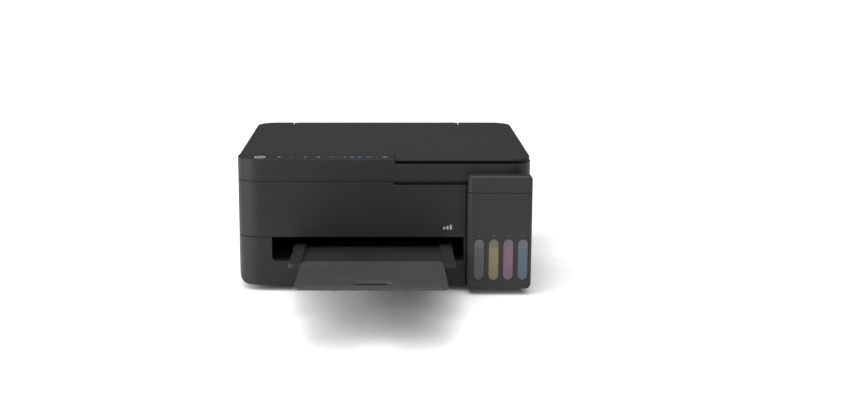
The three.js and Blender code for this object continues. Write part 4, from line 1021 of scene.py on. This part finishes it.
@dataclass
class PrintEngine(SubAssembly):
    """Everything under the scanner: chassis, carriage, rollers, belt and gears."""

    tooth_pitch: float = 0.002
    plain: dict[str, str] = field(default_factory=lambda: {
        "chassis": "steel", "carriage_rail": "shaft", "carriage_belt": "rubber", "carriage_motor": "steel",
        "motor_pulley": "shaft", "belt_idler": "white", "platen": "inner", "feed_roller": "shaft",
        "feed_gear": "white", "feed_pinion": "shaft", "feed_motor": "steel", "idler_gear": "white",
        "exit_roller": "inner", "star_wheel_bar": "grey", "cap_station": "grey", "pickup_roller": "rubber",
        "ink_tubes": "inner", "print_head": "grey", "mainboard": "board", "power_supply": "inner",
        "usb_port": "shaft", "power_inlet": "inner", "scan_rail": "shaft", "scan_bar": "grey",
        "scan_glass": "glass", "scanner_bezel": "inner"})

    def details(self) -> None:
        """Gives the inner nodes their finishes and adds belt teeth, encoder strip, cartridge latches and
        screws.
        """
        for node, key in self.plain.items():
            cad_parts[node].material_slots[0].material = MATERIALS[key]
        low, high = span("carriage_belt")
        teeth = []
        length = high.x - low.x - 0.02
        for index in range(int(length / self.tooth_pitch)):
            x = low.x + 0.01 + index * self.tooth_pitch
            for z in (low.z + 0.0013, high.z - 0.0017):
                teeth.append(block(Vector((x, low.y + 0.0003, z)),
                                   Vector((x + 0.001, high.y - 0.0003, z + 0.0003))))
        dressed("belt_teeth", joined(teeth), "rubber", "root")
        rail_low, rail_high = span("carriage_rail")
        strip = block(Vector((rail_low.x + 0.02, high.y + 0.001, high.z + 0.0012)),
                      Vector((rail_high.x - 0.02, high.y + 0.0011, high.z + 0.006)))
        dressed("encoder_strip", strip, "clear", "root")
        self.head_details()
        self.chassis_screws()

    def head_details(self) -> None:
        """Adds the four cartridge latches to the carriage."""
        low, high = span("print_head")
        width = (high.x - low.x) / 4
        for index, ink in enumerate(("black", "yellow", "magenta", "cyan")):
            x = low.x + index * width
            latch = block(Vector((x + 0.003, low.y + 0.003, high.z - 0.0005)),
                          Vector((x + width - 0.003, high.y - 0.003, high.z + 0.0012)), 0.0006, 2)
            dressed("latch_" + ink, latch, "ink_" + ink, "carriage")

    def chassis_screws(self) -> None:
        """Adds the screws that hold the chassis to its back plate."""
        low, high = span("chassis")
        heads = [screw(Vector((x, high.y - 0.0024, high.z - 0.012)), Axis.Y)
                 for x in (low.x + 0.04, -0.05, 0.05, high.x - 0.05)]
        dressed("chassis_screws", joined(heads), "shaft", "root")


@dataclass
class Studio:
    """The pale floor, soft lights and camera."""

    lens: float = 55.22
    pitch: float = 11.772
    back: float = 1.6397
    rise: float = 0.2829
    shift: float = 0.0534
    key: float = 9.0
    side: float = 22.0
    world: float = 0.18
    daylight: float = 3.9

    def sun(self, direction: Vector) -> None:
        """Adds the wide, even light that keeps the floor pale.

        Args:
            direction: The way from the object to the light.
        """
        data = bpy.data.lights.new("sky_panel", "SUN")
        data.energy = self.daylight
        data.angle = math.radians(100.0)
        light = bpy.data.objects.new("sky_panel", data)
        light.rotation_euler = direction.to_track_quat("Z", "Y").to_euler()
        bpy.context.scene.collection.objects.link(light)

    def lamp(self, name: str, place: Vector, aim: Vector, size: tuple[float, float], power: float) -> None:
        """Adds one soft rectangular light.

        Args:
            name: Its name.
            place: Where it is.
            aim: The point that it faces.
            size: Its width and height.
            power: Its power in watts.
        """
        data = bpy.data.lights.new(name, "AREA")
        data.shape = "RECTANGLE"
        data.size, data.size_y = size
        data.energy = power
        light = bpy.data.objects.new(name, data)
        light.location = place
        light.rotation_euler = (aim - place).to_track_quat("-Z", "Y").to_euler()
        bpy.context.scene.collection.objects.link(light)

    def build(self) -> None:
        """Makes the floor, world, lights and camera."""
        floor = bmesh.new()
        bmesh.ops.create_grid(floor, x_segments=1, y_segments=1, size=60.0)
        data = bpy.data.meshes.new("floor")
        floor.to_mesh(data)
        floor.free()
        ground = bpy.data.objects.new("floor", data)
        bpy.context.scene.collection.objects.link(ground)
        pale = Finish("pale_floor", (0.9, 0.9, 0.9), 0.7, grain=0.0, rub_and_highlight=0.0, dust=0.0, shine=0.1)
        ground.data.materials.append(pale.build())
        world = bpy.data.worlds.new("studio")
        world.use_nodes = True
        world.node_tree.nodes["Background"].inputs["Color"].default_value = (1.0, 1.0, 1.0, 1.0)
        world.node_tree.nodes["Background"].inputs["Strength"].default_value = self.world
        bpy.context.scene.world = world
        bpy.context.scene.view_settings.view_transform = "Standard"
        aim = Vector((0, 0, 0.09))
        self.sun(Vector((-0.25, -0.55, 1.0)))
        self.lamp("top_light", Vector((-0.1, 0.05, 1.6)), aim, (1.3, 0.6), self.key)
        self.lamp("left_light", Vector((-1.6, -0.7, 0.5)), aim, (0.6, 1.1), self.side)
        front = span("upper_housing")[0].y
        top = span("document_lid")[1].z
        camera = bpy.data.objects.new("camera", bpy.data.cameras.new("camera"))
        camera.data.lens = self.lens
        camera.data.sensor_width = 36.0
        camera.data.shift_x = self.shift
        camera.data.clip_end = 50.0
        camera.location = (0.0, front - self.back, top + self.rise)
        camera.rotation_euler = (math.radians(90 - self.pitch), 0, 0)
        bpy.context.scene.collection.objects.link(camera)
        bpy.context.scene.camera = camera


def keys() -> list[Casing]:
    """Lists the casings of the panel's keys."""
    names = ("power_button", "wifi_button", "status_button", "mono_copy_button",
             "colour_copy_button", "stop_button")
    return [Casing(name, "panel", name, "gloss", 0.00012, 2) for name in names]


def main() -> None:
    """Builds the studio and every sub-assembly in order."""
    logging.basicConfig(level=logging.INFO, format="%(name)s %(message)s")
    Studio().build()
    feet = [Casing(name, "rubber", "root", "rubber", 0.0008) for name in
            ("foot_front_left", "foot_front_right", "foot_rear_left", "foot_rear_right")]
    Housing([Casing("lower_housing", "shell", "root", "shell", 0.0007),
             Casing("upper_housing", "shell", "root", "shell", 0.0007), *feet]).build()
    caps = [Casing("ink_cap_" + ink, "inner", "ink_cap_" + ink, "inner", 0.0003, 2)
            for ink in ("black", "yellow", "magenta", "cyan")]
    cover_top = span("tank_cover")[1].z
    tank_low = span("tank_housing")[0].z
    InkUnit([CorneredCasing("tank_housing", "tank", "root", "shell", 0.0005, top=cover_top, bottom=tank_low),
             CorneredCasing("tank_cover", "gloss", "tank_cover", "gloss", 0.0005, top=cover_top),
             *caps]).build()
    ScannerUnit([Casing("scanner_housing", "shell", "scanner_unit", "shell", 0.00035)]).build()
    ControlPanel(keys()).build()
    DocumentLid([Casing("document_lid", "top", "document_lid", "shell", 0.0004, 2)]).build()
    OutputTray([Casing("output_tray", "shell", "output_tray", "shell", 0.0005),
                Casing("tray_extension", "tray", "tray_extension", "grey", 0.0005)]).build()
    RearFeeder([Casing("feeder_frame", "inner", "root", "inner", 0.0004),
                Casing("paper_support", "shell", "paper_support", "shell", 0.0004),
                Casing("feeder_guard", "shell", "feeder_guard", "shell", 0.0003),
                Casing("edge_guide_left", "grey", "edge_guide_left", "grey", 0.0004),
                Casing("edge_guide_right", "grey", "edge_guide_right", "grey", 0.0004)]).build()
    PrintEngine([Casing("carriage", "inner", "carriage", "inner", 0.0006)]).build()


if __name__ == "__main__":
    main()
